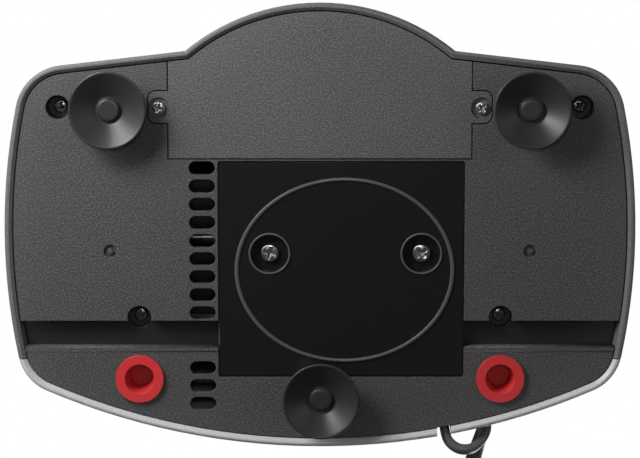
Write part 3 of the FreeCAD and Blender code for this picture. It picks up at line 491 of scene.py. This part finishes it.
@dataclass
class Camera:
    """The photograph's view: from below the front, looking up at the base."""

    place: Vector = field(default_factory=lambda: Vector((0.0, -88.0, -690.0)) * MM)
    target: Vector = field(default_factory=lambda: Vector((0.0, 0.25, 7.0)) * MM)
    focal_length: float = 119.2
    clip_near: float = 0.01

    def build(self) -> bpy.types.Object:
        """Make the camera and set it as the scene's own.

        Returns:
            The camera.
        """
        data = bpy.data.cameras.new("camera")
        data.lens = self.focal_length
        data.clip_start = self.clip_near
        camera = bpy.data.objects.new("camera", data)
        bpy.context.scene.collection.objects.link(camera)
        forward = (self.target - self.place).normalized()
        right = Vector((1, 0, 0))
        up = right.cross(forward).normalized()
        turn = Matrix((right, up, -forward)).transposed().to_4x4()
        camera.matrix_world = Matrix.Translation(self.place) @ turn
        bpy.context.scene.camera = camera
        return camera


@dataclass
class Lamp:
    """A soft rectangular lamp."""

    name: str
    place: tuple[float, float, float]
    aim: tuple[float, float, float]
    width: float
    power: float

    def build(self) -> None:
        """Make the lamp."""
        data = bpy.data.lights.new(self.name, "AREA")
        data.shape = "SQUARE"
        data.size = self.width
        data.energy = self.power
        lamp = bpy.data.objects.new(self.name, data)
        bpy.context.scene.collection.objects.link(lamp)
        place = Vector(self.place)
        way = (Vector(self.aim) - place).to_track_quat("-Z", "Y")
        lamp.matrix_world = Matrix.Translation(place) @ way.to_matrix().to_4x4()


@dataclass
class Studio:
    """The floor, the white surround and the lamps."""

    floor_half: float = 1.6
    floor_grey: Colour = (0.86, 0.86, 0.86)
    fill: float = 0.1
    lamps: tuple[Lamp, ...] = (
        Lamp("under_key", (-0.20, -0.20, -0.16), (-0.03, -0.03, 0.0), 0.12, 0.95),
        Lamp("under_left", (-0.52, -0.30, -0.28), (0.0, 0.0, 0.0), 0.4, 2.5),
        Lamp("under_right", (0.90, -0.30, -0.50), (0.0, 0.0, 0.0), 0.45, 1.5),
        Lamp("under_front", (0.0, -0.16, -0.72), (0.0, 0.0, 0.0), 0.05, 0.35),
        Lamp("top_key", (-0.8, -0.9, 1.3), (0.0, 0.0, 0.05), 0.9, 20.0),
        Lamp("top_rear", (0.8, 1.1, 1.0), (0.0, 0.0, 0.05), 0.9, 9.0),
    )

    def build(self) -> None:
        """Make the floor, the world and the lamps."""
        self._floor()
        self._world()
        for lamp in self.lamps:
            lamp.build()

    def _floor(self) -> None:
        """Make a floor that only shows from above."""
        mesh = bmesh.new()
        bmesh.ops.create_grid(mesh, x_segments=1, y_segments=1, size=self.floor_half)
        data = bpy.data.meshes.new("floor")
        mesh.to_mesh(data)
        mesh.free()
        floor = bpy.data.objects.new("floor", data)
        bpy.context.scene.collection.objects.link(floor)
        paint = Paint("floor")
        paint.set(Base_Color=self.floor_grey, Roughness=0.9, Specular_IOR_Level=0.1)
        rays = paint.node("ShaderNodeLightPath", output="Is Camera Ray")
        glossy = Wire(paint, rays.socket.node.outputs["Is Glossy Ray"])
        passing = Wire(paint, rays.socket.node.outputs["Is Transmission Ray"])
        behind = paint.node("ShaderNodeNewGeometry", output="Backfacing")
        shown = (rays + glossy + passing) * (1 - behind)
        clear = paint.node("ShaderNodeBsdfTransparent")
        mix = paint.node("ShaderNodeMixShader", inputs={0: shown, 1: clear})
        paint.tree.links.new(paint.shader.outputs[0], mix.socket.node.inputs[2])
        paint.tree.links.new(mix.socket, paint.tree.nodes["Material Output"].inputs["Surface"])
        data.materials.append(paint.material)

    def _world(self) -> None:
        """Make a surround that looks white and lights softly."""
        world = bpy.data.worlds.new("surround")
        bpy.context.scene.world = world
        world.use_nodes = True
        nodes = Nodes(world.node_tree)
        rays = nodes.node("ShaderNodeLightPath", output="Is Camera Ray")
        passing = Wire(nodes, rays.socket.node.outputs["Is Transmission Ray"])
        seen = nodes.node("ShaderNodeMath", {"operation": "MAXIMUM"}, {0: rays, 1: passing})
        level = nodes.node("ShaderNodeMapRange", inputs={"Value": seen, "To Min": self.fill, "To Max": 1.0})
        surround = nodes.tree.nodes["Background"]
        surround.inputs["Color"].default_value = (1.0, 1.0, 1.0, 1.0)
        nodes.feed(surround.inputs["Strength"], level)
        bpy.context.scene.view_settings.view_transform = "Standard"


@dataclass
class Casing:
    """Every CAD shell that keeps its own mesh, with its finish."""

    nodes: dict[str, bpy.types.Object]
    finishes: dict[str, Finish] = field(default_factory=lambda: {
        "front_housing": Finish.CHARCOAL_RIM,
        "rear_housing": Finish.SILVER,
        "base_plate": Finish.CHARCOAL_BASE,
        "front_cover": Finish.CHARCOAL_COVER,
        "motor_cover": Finish.PIANO_BLACK,
        "blade_guide_left": Finish.SATIN_BLACK,
        "blade_guide_right": Finish.SATIN_BLACK,
        "wheel_chamber_left": Finish.SATIN_BLACK,
        "wheel_chamber_right": Finish.SATIN_BLACK,
        "switch_body": Finish.SATIN_BLACK,
        "rocker_button": Finish.SATIN_BLACK,
        "cleanout_plug_left": Finish.RED,
        "cleanout_plug_right": Finish.RED,
        # Painted shade: the shaft takes the darker steel so that it reads dark through the vents.
        "motor_shaft": Finish.DARK_STEEL_AND_SHADE,
        "wheel_nuts": Finish.PLATED_STEEL,
        "coarse_wheel": Finish.COARSE_GRIT,
        "fine_wheel": Finish.FINE_GRIT,
        "motor_stator": Finish.LAMINATED_STEEL,
        "rotor_core": Finish.LAMINATED_STEEL,
        "motor_coil": Finish.COPPER,
        "bearing_left": Finish.BRASS,
        "bearing_right": Finish.BRASS,
        "bearing_bracket_left": Finish.PLATED_STEEL,
        "bearing_bracket_right": Finish.PLATED_STEEL,
        "cooling_fan": Finish.SATIN_BLACK,
        "strain_relief": Finish.SATIN_BLACK,
        "switch_leads": Finish.JACKET,
        "cord_tie": Finish.SATIN_BLACK,
        "plug_blades": Finish.BRASS,
    })
    band_rows: tuple[float, float] = (31.4, 40.7)
    band_levels: tuple[float, float] = (9.3, 13.7)

    def build(self) -> None:
        """Dress each shell."""
        for name, finish in self.finishes.items():
            WARDROBE.dress(self.nodes[name], finish)
            LOG.info("%s dressed", name)
        self._paint_band_shade()

    def _paint_band_shade(self) -> None:
        """Give the recessed band in the base its smooth finish, coloured dark as painted shade for the deep groove.
        """
        base = self.nodes["base_plate"]
        # The band's faces take the near-black material: painted shade.
        base.data.materials.append(WARDROBE.material(Finish.SMOOTH_BAND_PAINTED_SHADE))
        turn = base.matrix_world
        (front, rear), (low, high) = self.band_rows, self.band_levels
        for polygon in base.data.polygons:
            middle = turn @ polygon.center / MM
            if front < middle.y < rear and low < middle.z < high:
                polygon.material_index = 1


@dataclass(frozen=True)
class ScrewSet:
    """Cross-recess screws that stand for one CAD node."""

    node: str
    places: tuple[tuple[float, float], ...]
    face: float
    radius: float
    shank_radius: float
    length: float
    finish: Finish = Finish.DARK_STEEL_AND_SHADE
    height: float = 1.6
    rings: int = 14
    crown_share: float = 0.9
    crown_drop: float = 0.22
    rim_drop: float = 0.55
    cross_reach: float = 0.66
    cross_half: float = 0.19
    cross_depth: float = 0.5
    cross_fade: float = 0.6
    face_depth: float = 0.3
    first_turn: float = 20
    next_turn: float = 31

    def build(self) -> bpy.types.Object:
        """Make the screws.

        Returns:
            The piece with all heads and shanks of the set.
        """
        mesh = bmesh.new()
        for index, place in enumerate(self.places):
            spun(self._profile(), (*place, self.face), 72, mesh)
            self._press_cross(mesh, place, math.radians(self.first_turn + self.next_turn * index))
        piece = add_piece(f"{self.node}_heads", mesh, self.finish)
        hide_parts(self.node)
        return piece

    def _profile(self) -> list[tuple[float, float]]:
        """Return the line from the head's middle to the tip of the shank.

        Returns:
            The (radius, height) points, in millimetres from the head's face.
        """
        flat = self.crown_share * self.radius
        head = [(flat * ring / self.rings, self.crown_drop * (ring / self.rings) ** 2)
                for ring in range(self.rings + 1)]
        edge = [(self.radius, self.rim_drop), (self.radius, self.height), (self.shank_radius, self.height)]
        tip = self.height + self.length
        return head + edge + [(self.shank_radius, tip - self.shank_radius), (0.0, tip)]

    def _press_cross(self, mesh: bmesh.types.BMesh, place: tuple[float, float], turn: float) -> None:
        """Push the cross recess into one head.

        Args:
            mesh: The mesh that holds the head.
            place: The screw's X and Y, in millimetres.
            turn: How far the cross is turned, in radians.
        """
        reach, half = self.cross_reach * self.radius, self.cross_half * self.radius
        depth = self.cross_depth * self.radius
        for dot in mesh.verts:
            across = dot.co / MM - Vector((*place, self.face))
            if across.z > self.face_depth or across.xy.length > self.crown_share * self.radius:
                continue
            first = abs(across.x * math.cos(turn) + across.y * math.sin(turn))
            second = abs(across.y * math.cos(turn) - across.x * math.sin(turn))
            if max(first, second) < reach and min(first, second) < half:
                dot.co.z += depth * (1 - self.cross_fade * max(first, second) / reach) * MM


@dataclass(frozen=True)
class SuctionFoot:
    """A soft foot with a concave cup, a middle nub and a stem through the base."""

    node: str
    place: tuple[float, float]
    profile: tuple[tuple[float, float], ...] = (
        (0.0, 3.3), (2.2, 3.2), (3.0, 3.2), (3.5, 3.3), (3.8, 3.6), (3.85, 4.0), (3.85, 4.55), (4.0, 4.72),
        (4.3, 4.65), (5.5, 3.95), (7.0, 3.02), (9.0, 1.82), (11.0, 0.64), (11.75, 0.22), (12.1, 0.03),
        (12.45, 0.0), (12.7, 0.14), (12.75, 0.4), (12.55, 0.85), (8.3, 6.9), (8.0, 7.4), (8.0, 9.0), (4.0, 9.0),
        (4.0, 12.6), (3.6, 13.0), (0.0, 13.0))

    def build(self) -> bpy.types.Object:
        """Make the foot.

        Returns:
            The piece.
        """
        piece = add_piece(f"{self.node}_cup", spun(self.profile, (*self.place, 0.0), 96), Finish.FOOT_RUBBER)
        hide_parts(self.node)
        return piece


@dataclass(frozen=True)
class BaseTrim:
    """Thin raised forms on the base: the motor cover's ring and collars, and the band's rear lips."""

    ring_centre: tuple[float, float] = (8.2, 14.45)
    ring_half_length: float = 36.0
    ring_half_depth: float = 30.5
    ring_width: float = 1.3
    ring_rise: float = 0.5
    plate_level: float = 9.4
    recess_radius: float = 6.3
    collar_gap: float = 0.35
    collar_width: float = 0.7
    collar_rise: float = 0.4
    root_depth: float = 0.1
    lip_runs: tuple[tuple[float, float], ...] = ((-98.9, -34.1), (48.2, 98.9))
    lip_row: float = 40.05
    lip_radius: float = 2.0
    lip_steps: int = 10
    lip_proud: float = 0.06
    lip_top: float = 13.4
    base_level: float = 9.0

    def build(self) -> None:
        """Make the trim."""
        self._ring()
        self._collars()
        self._lips()

    def _ridge(self, radius: float, width: float, rise: float) -> list[tuple[float, float]]:
        """Return the section of a round-topped ridge, closed under the surface.

        Args:
            radius: The middle of the ridge.
            width: Its width at the surface.
            rise: How far it stands out.

        Returns:
            The (radius, height) points, in millimetres.
        """
        half = width / 2
        return [(radius - half, self.root_depth), (radius - half, 0.0), (radius - half * 0.75, -0.8 * rise),
                (radius - half * 0.5, -rise), (radius + half * 0.5, -rise),
                (radius + half * 0.75, -0.8 * rise), (radius + half, 0.0), (radius + half, self.root_depth)]

    def _ring(self) -> None:
        """Make the oval ring on the motor cover."""
        radius = (self.ring_half_length + self.ring_half_depth) / 2
        mesh = spun(self._ridge(radius, self.ring_width, self.ring_rise), (0.0, 0.0, self.plate_level), 160)
        bmesh.ops.scale(mesh, verts=mesh.verts, vec=(self.ring_half_length / radius,
                                                     self.ring_half_depth / radius, 1.0))
        bmesh.ops.translate(mesh, verts=mesh.verts, vec=Vector((*self.ring_centre, 0.0)) * MM)
        # The ring's lighter grey is a painted highlight.
        add_piece("motor_cover_ring", mesh, Finish.RIDGE_PAINTED_HIGHLIGHT)

    def _collars(self) -> None:
        """Make the raised collars round the motor screws."""
        mesh = bmesh.new()
        section = self._ridge(self.recess_radius + self.collar_gap, self.collar_width, self.collar_rise)
        for place in MOTOR_SCREW_PLACES:
            spun(section, (*place, self.plate_level), 72, mesh)
        # The collars' lighter grey is a painted highlight.
        add_piece("motor_screw_collars", mesh, Finish.RIDGE_PAINTED_HIGHLIGHT)

    def _lips(self) -> None:
        """Make the rounded rear edges of the band."""
        low = self.base_level - self.lip_proud
        centre_y, centre_z = self.lip_row + self.lip_radius, low + self.lip_radius
        arc = []
        for step in range(self.lip_steps + 1):
            angle = math.pi / 2 * step / self.lip_steps
            arc.append((centre_y - self.lip_radius * math.sin(angle), centre_z - self.lip_radius * math.cos(angle)))
        outline = arc + [(self.lip_row, self.lip_top), (centre_y, self.lip_top)]
        for name, (start, end) in zip(("left", "right"), self.lip_runs):
            add_piece(f"band_lip_{name}", prism(outline, start, end), Finish.CHARCOAL_BASE)


@dataclass(frozen=True)
class Mark:
    """One raised character, flat on a face."""

    name: str
    character: str
    height: float
    turn: Matrix
    body: str = "root"
    slot: str = "black_plastic"
    depth: float = 0.12
    size_per_height: float = 1.4

    def build(self) -> bpy.types.Object:
        """Make the character's mesh.

        Returns:
            The piece.
        """
        curve = bpy.data.curves.new(self.name, "FONT")
        curve.body = self.character
        curve.size = self.height * MM * self.size_per_height
        curve.extrude = self.depth * MM
        curve.align_x = "CENTER"
        curve.align_y = "CENTER"
        holder = bpy.data.objects.new(self.name, curve)
        data = bpy.data.meshes.new_from_object(holder)
        mesh = bmesh.new()
        mesh.from_mesh(data)
        bpy.data.objects.remove(holder)
        bpy.data.curves.remove(curve)
        bpy.data.meshes.remove(data)
        bmesh.ops.transform(mesh, matrix=self.turn, verts=mesh.verts)
        return add_piece(self.name, mesh, Finish.MARKING, self.body, smooth=False)


@dataclass(frozen=True)
class Markings:
    """The stage numbers on the guides and the two signs on the rocker."""

    stage_place: float = 60.4
    stage_row: float = 14.0
    crown: float = 6.5
    crown_half: float = 120.75
    top: float = 106.0
    number_height: float = 9.0
    sign_height: float = 3.6
    lift: float = 0.02
    hood_low: float = 34.0
    hood_rise: float = 22.0
    hood_run: float = 39.0
    hood_slope: float = math.atan2(hood_rise, hood_run)
    switch_row: float = -47.0
    switch_run: float = 19.0
    switch_level: float = hood_low + switch_run * hood_rise / hood_run
    rocker_pivot: float = 5.0
    rocker_turn: float = math.radians(-7.0)
    rocker_half: float = 11.0
    rocker_rise: float = 2.5
    face_rise_share: float = 0.7
    face_low_share: float = 0.3
    sign_share: float = 0.56

    def build(self) -> None:
        """Make the marks."""
        for side, character in ((-1, "1"), (1, "2")):
            turn = self._crown(side * self.stage_place)
            Mark(f"stage_number_{character}", character, self.number_height, turn).build()
        for side, name, character in ((-1, "on", "I"), (1, "off", "O")):
            Mark(f"switch_sign_{name}", character, self.sign_height, self._rocker(side), "rocker").build()

    def _crown(self, across: float) -> Matrix:
        """Return the turn from level to the top of the housing at one X.

        Args:
            across: The X, in millimetres.

        Returns:
            The matrix that places a flat mark there.
        """
        share = across / self.crown_half
        level = self.top - self.crown * share * share
        tilt = math.atan(2 * self.crown * share / self.crown_half)
        spot = Vector((across, self.stage_row, level + self.lift)) * MM
        return Matrix.Translation(spot) @ Matrix.Rotation(tilt, 4, "Y")

    def _rocker(self, side: int) -> Matrix:
        """Return the turn from level to one half of the rocker's face.

        Args:
            side: -1 for the front half and 1 for the rear half.

        Returns:
            The matrix that places a flat mark there.
        """
        rise = self.face_rise_share * self.rocker_rise
        slope = math.atan(rise / self.rocker_half)
        middle = self.sign_share * self.rocker_half
        face = self.face_low_share * self.rocker_rise + rise * self.sign_share
        hood = Matrix.Translation(Vector((0.0, self.switch_row, self.switch_level)) * MM) \
            @ Matrix.Rotation(self.hood_slope, 4, "X")
        down = Matrix.Translation((0.0, 0.0, -self.rocker_pivot * MM))
        rocked = down @ Matrix.Rotation(self.rocker_turn, 4, "X") @ down.inverted()
        spot = Matrix.Translation(Vector((0.0, side * middle, face + self.lift)) * MM)
        return hood @ rocked @ spot @ Matrix.Rotation(side * slope, 4, "X")


@dataclass(frozen=True)
class MainsPlug:
    """The moulded two-pin plug: a rounded box grip and a ribbed collar on the lead."""

    low: tuple[float, float, float] = (-39.0, 159.4, 0.1)
    high: tuple[float, float, float] = (-16.0, 183.4, 18.1)
    edge: float = 3.2
    edge_steps: int = 5
    collar_steps: int = 40
    collar: tuple[tuple[float, float], ...] = (
        (0.0, -1.0), (6.6, -1.0), (6.6, 0.6), (5.6, 1.2), (6.0, 1.8), (6.0, 2.8), (5.0, 3.3), (5.3, 3.9),
        (5.3, 4.8), (4.3, 5.4), (4.5, 6.0), (4.4, 6.9), (0.0, 6.9))

    def build(self) -> bpy.types.Object:
        """Make the plug.

        Returns:
            The piece.
        """
        size = Vector(self.high) - Vector(self.low)
        middle = (Vector(self.high) + Vector(self.low)) / 2
        mesh = bmesh.new()
        bmesh.ops.create_cube(mesh, size=1.0)
        bmesh.ops.scale(mesh, verts=mesh.verts, vec=size * MM)
        bmesh.ops.bevel(mesh, geom=mesh.edges[:], offset=self.edge * MM, segments=self.edge_steps,
                        profile=0.5, affect="EDGES", material=-1)
        bmesh.ops.translate(mesh, verts=mesh.verts, vec=middle * MM)
        before = set(mesh.verts)
        spun(self.collar, (0.0, 0.0, 0.0), self.collar_steps, mesh)
        fresh = [dot for dot in mesh.verts if dot not in before]
        rear = Matrix.Translation(Vector((self.high[0], middle.y, middle.z)) * MM)
        bmesh.ops.transform(mesh, matrix=rear @ Matrix.Rotation(math.pi / 2, 4, "Y"), verts=fresh)
        piece = add_piece("mains_plug", mesh, Finish.SATIN_BLACK)
        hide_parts("plug_body")
        return piece


@dataclass
class SupplyLead:
    """The flat twin lead: a fold at the notch, an arch, a put-away coil and a tail to the plug."""

    thickness: float = 3.2 * MM
    width: float = 5.6 * MM
    floor_gap: float = 0.05 * MM
    exit: tuple[float, float, float] = (41.8, 61.45, 15.0)
    arch: tuple[tuple[float, float, float], ...] = (
        (41.7, 71.5, 14.2), (46.0, 75.9, 11.2), (51.9, 75.9, 11.2), (55.8, 71.9, 14.0),
        (56.6, 69.6, 21.5), (56.7, 70.6, 31.0), (56.7, 76.6, 38.6), (54.9, 83.6, 41.8),
        (52.6, 90.5, 40.4), (52.4, 97.5, 33.0), (53.6, 102.4, 23.0), (55.8, 107.6, 11.5))
    landing: tuple[float, float] = (58.5, 116.8)
    coil_centre: tuple[float, float] = (22.0, 134.0)
    coil_radius: float = 36.5
    coil_step: float = 1.9
    coil_layer: float = 6.2
    half_turns: int = 5
    coil_tail: float = 31.0
    coil_lead_in: float = 6.0
    turn_points: int = 16
    line_steps: int = 8
    round_steps: int = 8
    ridge: float = 0.22 * MM
    ridge_share: float = 0.45
    roll_start_level: float = 0.022
    roll_end_row: float = 0.116

    def route(self) -> list[Vector]:
        """Return the control points of the whole lead, in metres.

        Returns:
            The points, from the notch to the plug.
        """
        level = (self.width + 2 * self.floor_gap) / 2 / MM
        start = (self.coil_centre[0] + self.coil_radius, self.coil_centre[1] - self.coil_lead_in, level)
        points = [self.exit, *self.arch, (*self.landing, level), start] + self._turns(level)
        return [Vector(point) * MM for point in points]

    def _turns(self, level: float) -> list[tuple[float, float, float]]:
        """Return the coil's points: a layer that winds in, a climb, and a layer that winds out.

        Args:
            level: The height of the lower layer, in millimetres.

        Returns:
            The points, in millimetres.
        """
        centre_x, centre_y = self.coil_centre
        lower = [self.coil_radius - self.coil_step * index for index in range(self.half_turns + 1)]
        inner = lower[-1]
        upper = [inner - self.coil_step]
        upper += [inner + self.coil_step * (index + 2) for index in range(self.half_turns - 1)]
        radii = lower + upper + [upper[-1] + self.coil_step]
        heights = [level] * len(lower) + [level + self.coil_layer] * (len(upper) + 1)
        per_half = self.turn_points // 2
        last = (len(lower) + len(upper) - 1) * per_half + per_half // 2
        points = []
        for count in range(last + 1):
            index, share = divmod(count, per_half)
            share /= per_half
            radius = radii[index] + (radii[min(index + 1, len(radii) - 1)] - radii[index]) * share
            eased = share * share * (3 - 2 * share)
            height = heights[index] + (heights[min(index + 1, len(heights) - 1)] - heights[index]) * eased
            angle = math.pi * count / per_half
            swell = 1 / math.cos(math.pi / per_half / 2) ** 0.5
            points.append((centre_x + radius * swell * math.cos(angle),
                           centre_y + radius * swell * math.sin(angle), height))
        end_x, end_y, end_z = points[-1]
        way = -1.0 if math.sin(math.pi * last / per_half) > 0 else 1.0
        tail = self.coil_tail
        points += [(end_x + way * tail * part, end_y, end_z) for part in (0.35, 1.0)]
        return points

    def centreline(self) -> list[Vector]:
        """Return close points of the lead's NURBS line.

        Returns:
            The points, in metres.
        """
        curve = bpy.data.curves.new("lead_line", "CURVE")
        curve.dimensions = "3D"
        curve.resolution_u = self.line_steps
        spline = curve.splines.new("NURBS")
        route = self.route()
        spline.points.add(len(route) - 1)
        for dot, point in zip(spline.points, route):
            dot.co = (*point, 1.0)
        spline.order_u = 3
        spline.use_endpoint_u = True
        holder = bpy.data.objects.new("lead_line", curve)
        line = bpy.data.meshes.new_from_object(holder)
        points = [vertex.co.copy() for vertex in line.vertices]
        bpy.data.objects.remove(holder)
        bpy.data.curves.remove(curve)
        bpy.data.meshes.remove(line)
        return points

    def section(self) -> list[tuple[float, float]]:
        """Return the twin section: two ridged rounds with a groove between them.

        Returns:
            The (wide, across) points, in metres.
        """
        radius = self.thickness / 2
        reach = self.width / 2 - radius
        points = []
        for side in (1, -1):
            for step in range(self.round_steps + 1):
                angle = math.radians(-90 + 180 * step / self.round_steps)
                wide = side * (reach + radius * math.cos(angle))
                across = side * radius * math.sin(angle)
                points.append((wide, across))
            points.append((side * reach * self.ridge_share, side * (radius - self.ridge)))
            points.append((0.0, side * (radius - 2 * self.ridge)))
            points.append((-side * reach * self.ridge_share, side * (radius - self.ridge)))
        return points

    def frames(self, line: list[Vector]) -> list[tuple[Vector, Vector]]:
        """Return the wide and across directions at each point, upright at the exit and in the coil.

        Args:
            line: The lead's close points.

        Returns:
            One pair of directions for each point.
        """
        ways = [(after - before).normalized() for before, after in zip(line, line[1:])]
        ways.append(ways[-1])
        wide = Vector((0, 0, 1))
        carried = []
        for index, way in enumerate(ways):
            if index:
                wide = ways[index - 1].rotation_difference(way) @ wide
            wide = (wide - way * wide.dot(way)).normalized()
            carried.append(wide.copy())
        coil_from = next(i for i, point in enumerate(line) if point.y > self.roll_end_row)
        turn_from = next(i for i, point in enumerate(line) if point.z > self.roll_start_level)
        way = ways[coil_from]
        upright = (Vector((0, 0, 1)) - way * way.z).normalized()
        roll = math.atan2(carried[coil_from].cross(upright).dot(way), carried[coil_from].dot(upright))
        frames = []
        for index, (way, wide) in enumerate(zip(ways, carried)):
            share = min(max((index - turn_from) / (coil_from - turn_from), 0.0), 1.0)
            turned = Quaternion(way, roll * share) @ wide
            frames.append((turned, way.cross(turned)))
        return frames

    def _move(self, face: bmesh.types.BMFace, point: Vector, pair: tuple[Vector, Vector],
              section: list[tuple[float, float]]) -> None:
        """Set a face's corners to the section at one place of the line.

        Args:
            face: The face to move.
            point: The place on the line.
            pair: The wide and across directions there.
            section: The section's points.
        """
        wide, across = pair
        for corner, (first, second) in zip(face.verts, section):
            corner.co = point + wide * first + across * second

    def build(self, bare_nodes: Sequence[str], plug: bpy.types.Object) -> bpy.types.Object:
        """Args:
            bare_nodes: The CAD nodes that it stands for.
            plug: The plug on its far end. Not used.

        Returns:
            The lead.
        """
        line = self.centreline()
        section = self.section()
        frames = self.frames(line)
        mesh = bmesh.new()
        bmesh.ops.create_circle(mesh, cap_ends=True, segments=len(section), radius=self.width)
        face = mesh.faces[:][0]
        self._move(face, line[0], frames[0], section)
        for point, pair in zip(line[1:], frames[1:]):
            grown = bmesh.ops.extrude_discrete_faces(mesh, faces=[face])["faces"]
            face = grown[0]
            self._move(face, point, pair, section)
        bmesh.ops.recalc_face_normals(mesh, faces=mesh.faces)
        piece = add_piece("supply_lead", mesh, Finish.JACKET)
        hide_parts(*bare_nodes)
        return piece


SCREWS = (
    ScrewSet("base_screws", ((-86.6, -39.95), (86.6, -39.95), (-60.4, 30.4), (60.4, 30.4)), 15.9, 2.15, 1.3, 6.0),
    ScrewSet("cover_screws", ((-53.4, -39.75), (53.4, -39.75)), 8.3, 2.15, 1.3, 5.0,
             Finish.BRIGHT_STEEL),
    ScrewSet("motor_screws", MOTOR_SCREW_PLACES, 10.4, 3.05, 1.9, 11.0, Finish.BRIGHT_STEEL),
)
FEET = (SuctionFoot("foot_front_left", (-69.5, -39.45)), SuctionFoot("foot_front_right", (69.5, -39.45)),
        SuctionFoot("foot_rear", (0.3, 57.2)))


def main() -> None:
    """Load the frame and build every piece around it."""
    logging.basicConfig(level=logging.INFO, format="%(name)s: %(message)s")
    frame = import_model()
    Camera().build()
    SupplyLead().build(["power_cord", "cord_coil"], MainsPlug().build())
    Studio().build()
    Casing(frame["nodes"]).build()
    for screws in SCREWS:
        screws.build()
    for foot in FEET:
        foot.build()
    BaseTrim().build()
    Markings().build()


if __name__ == "__main__":
    main()
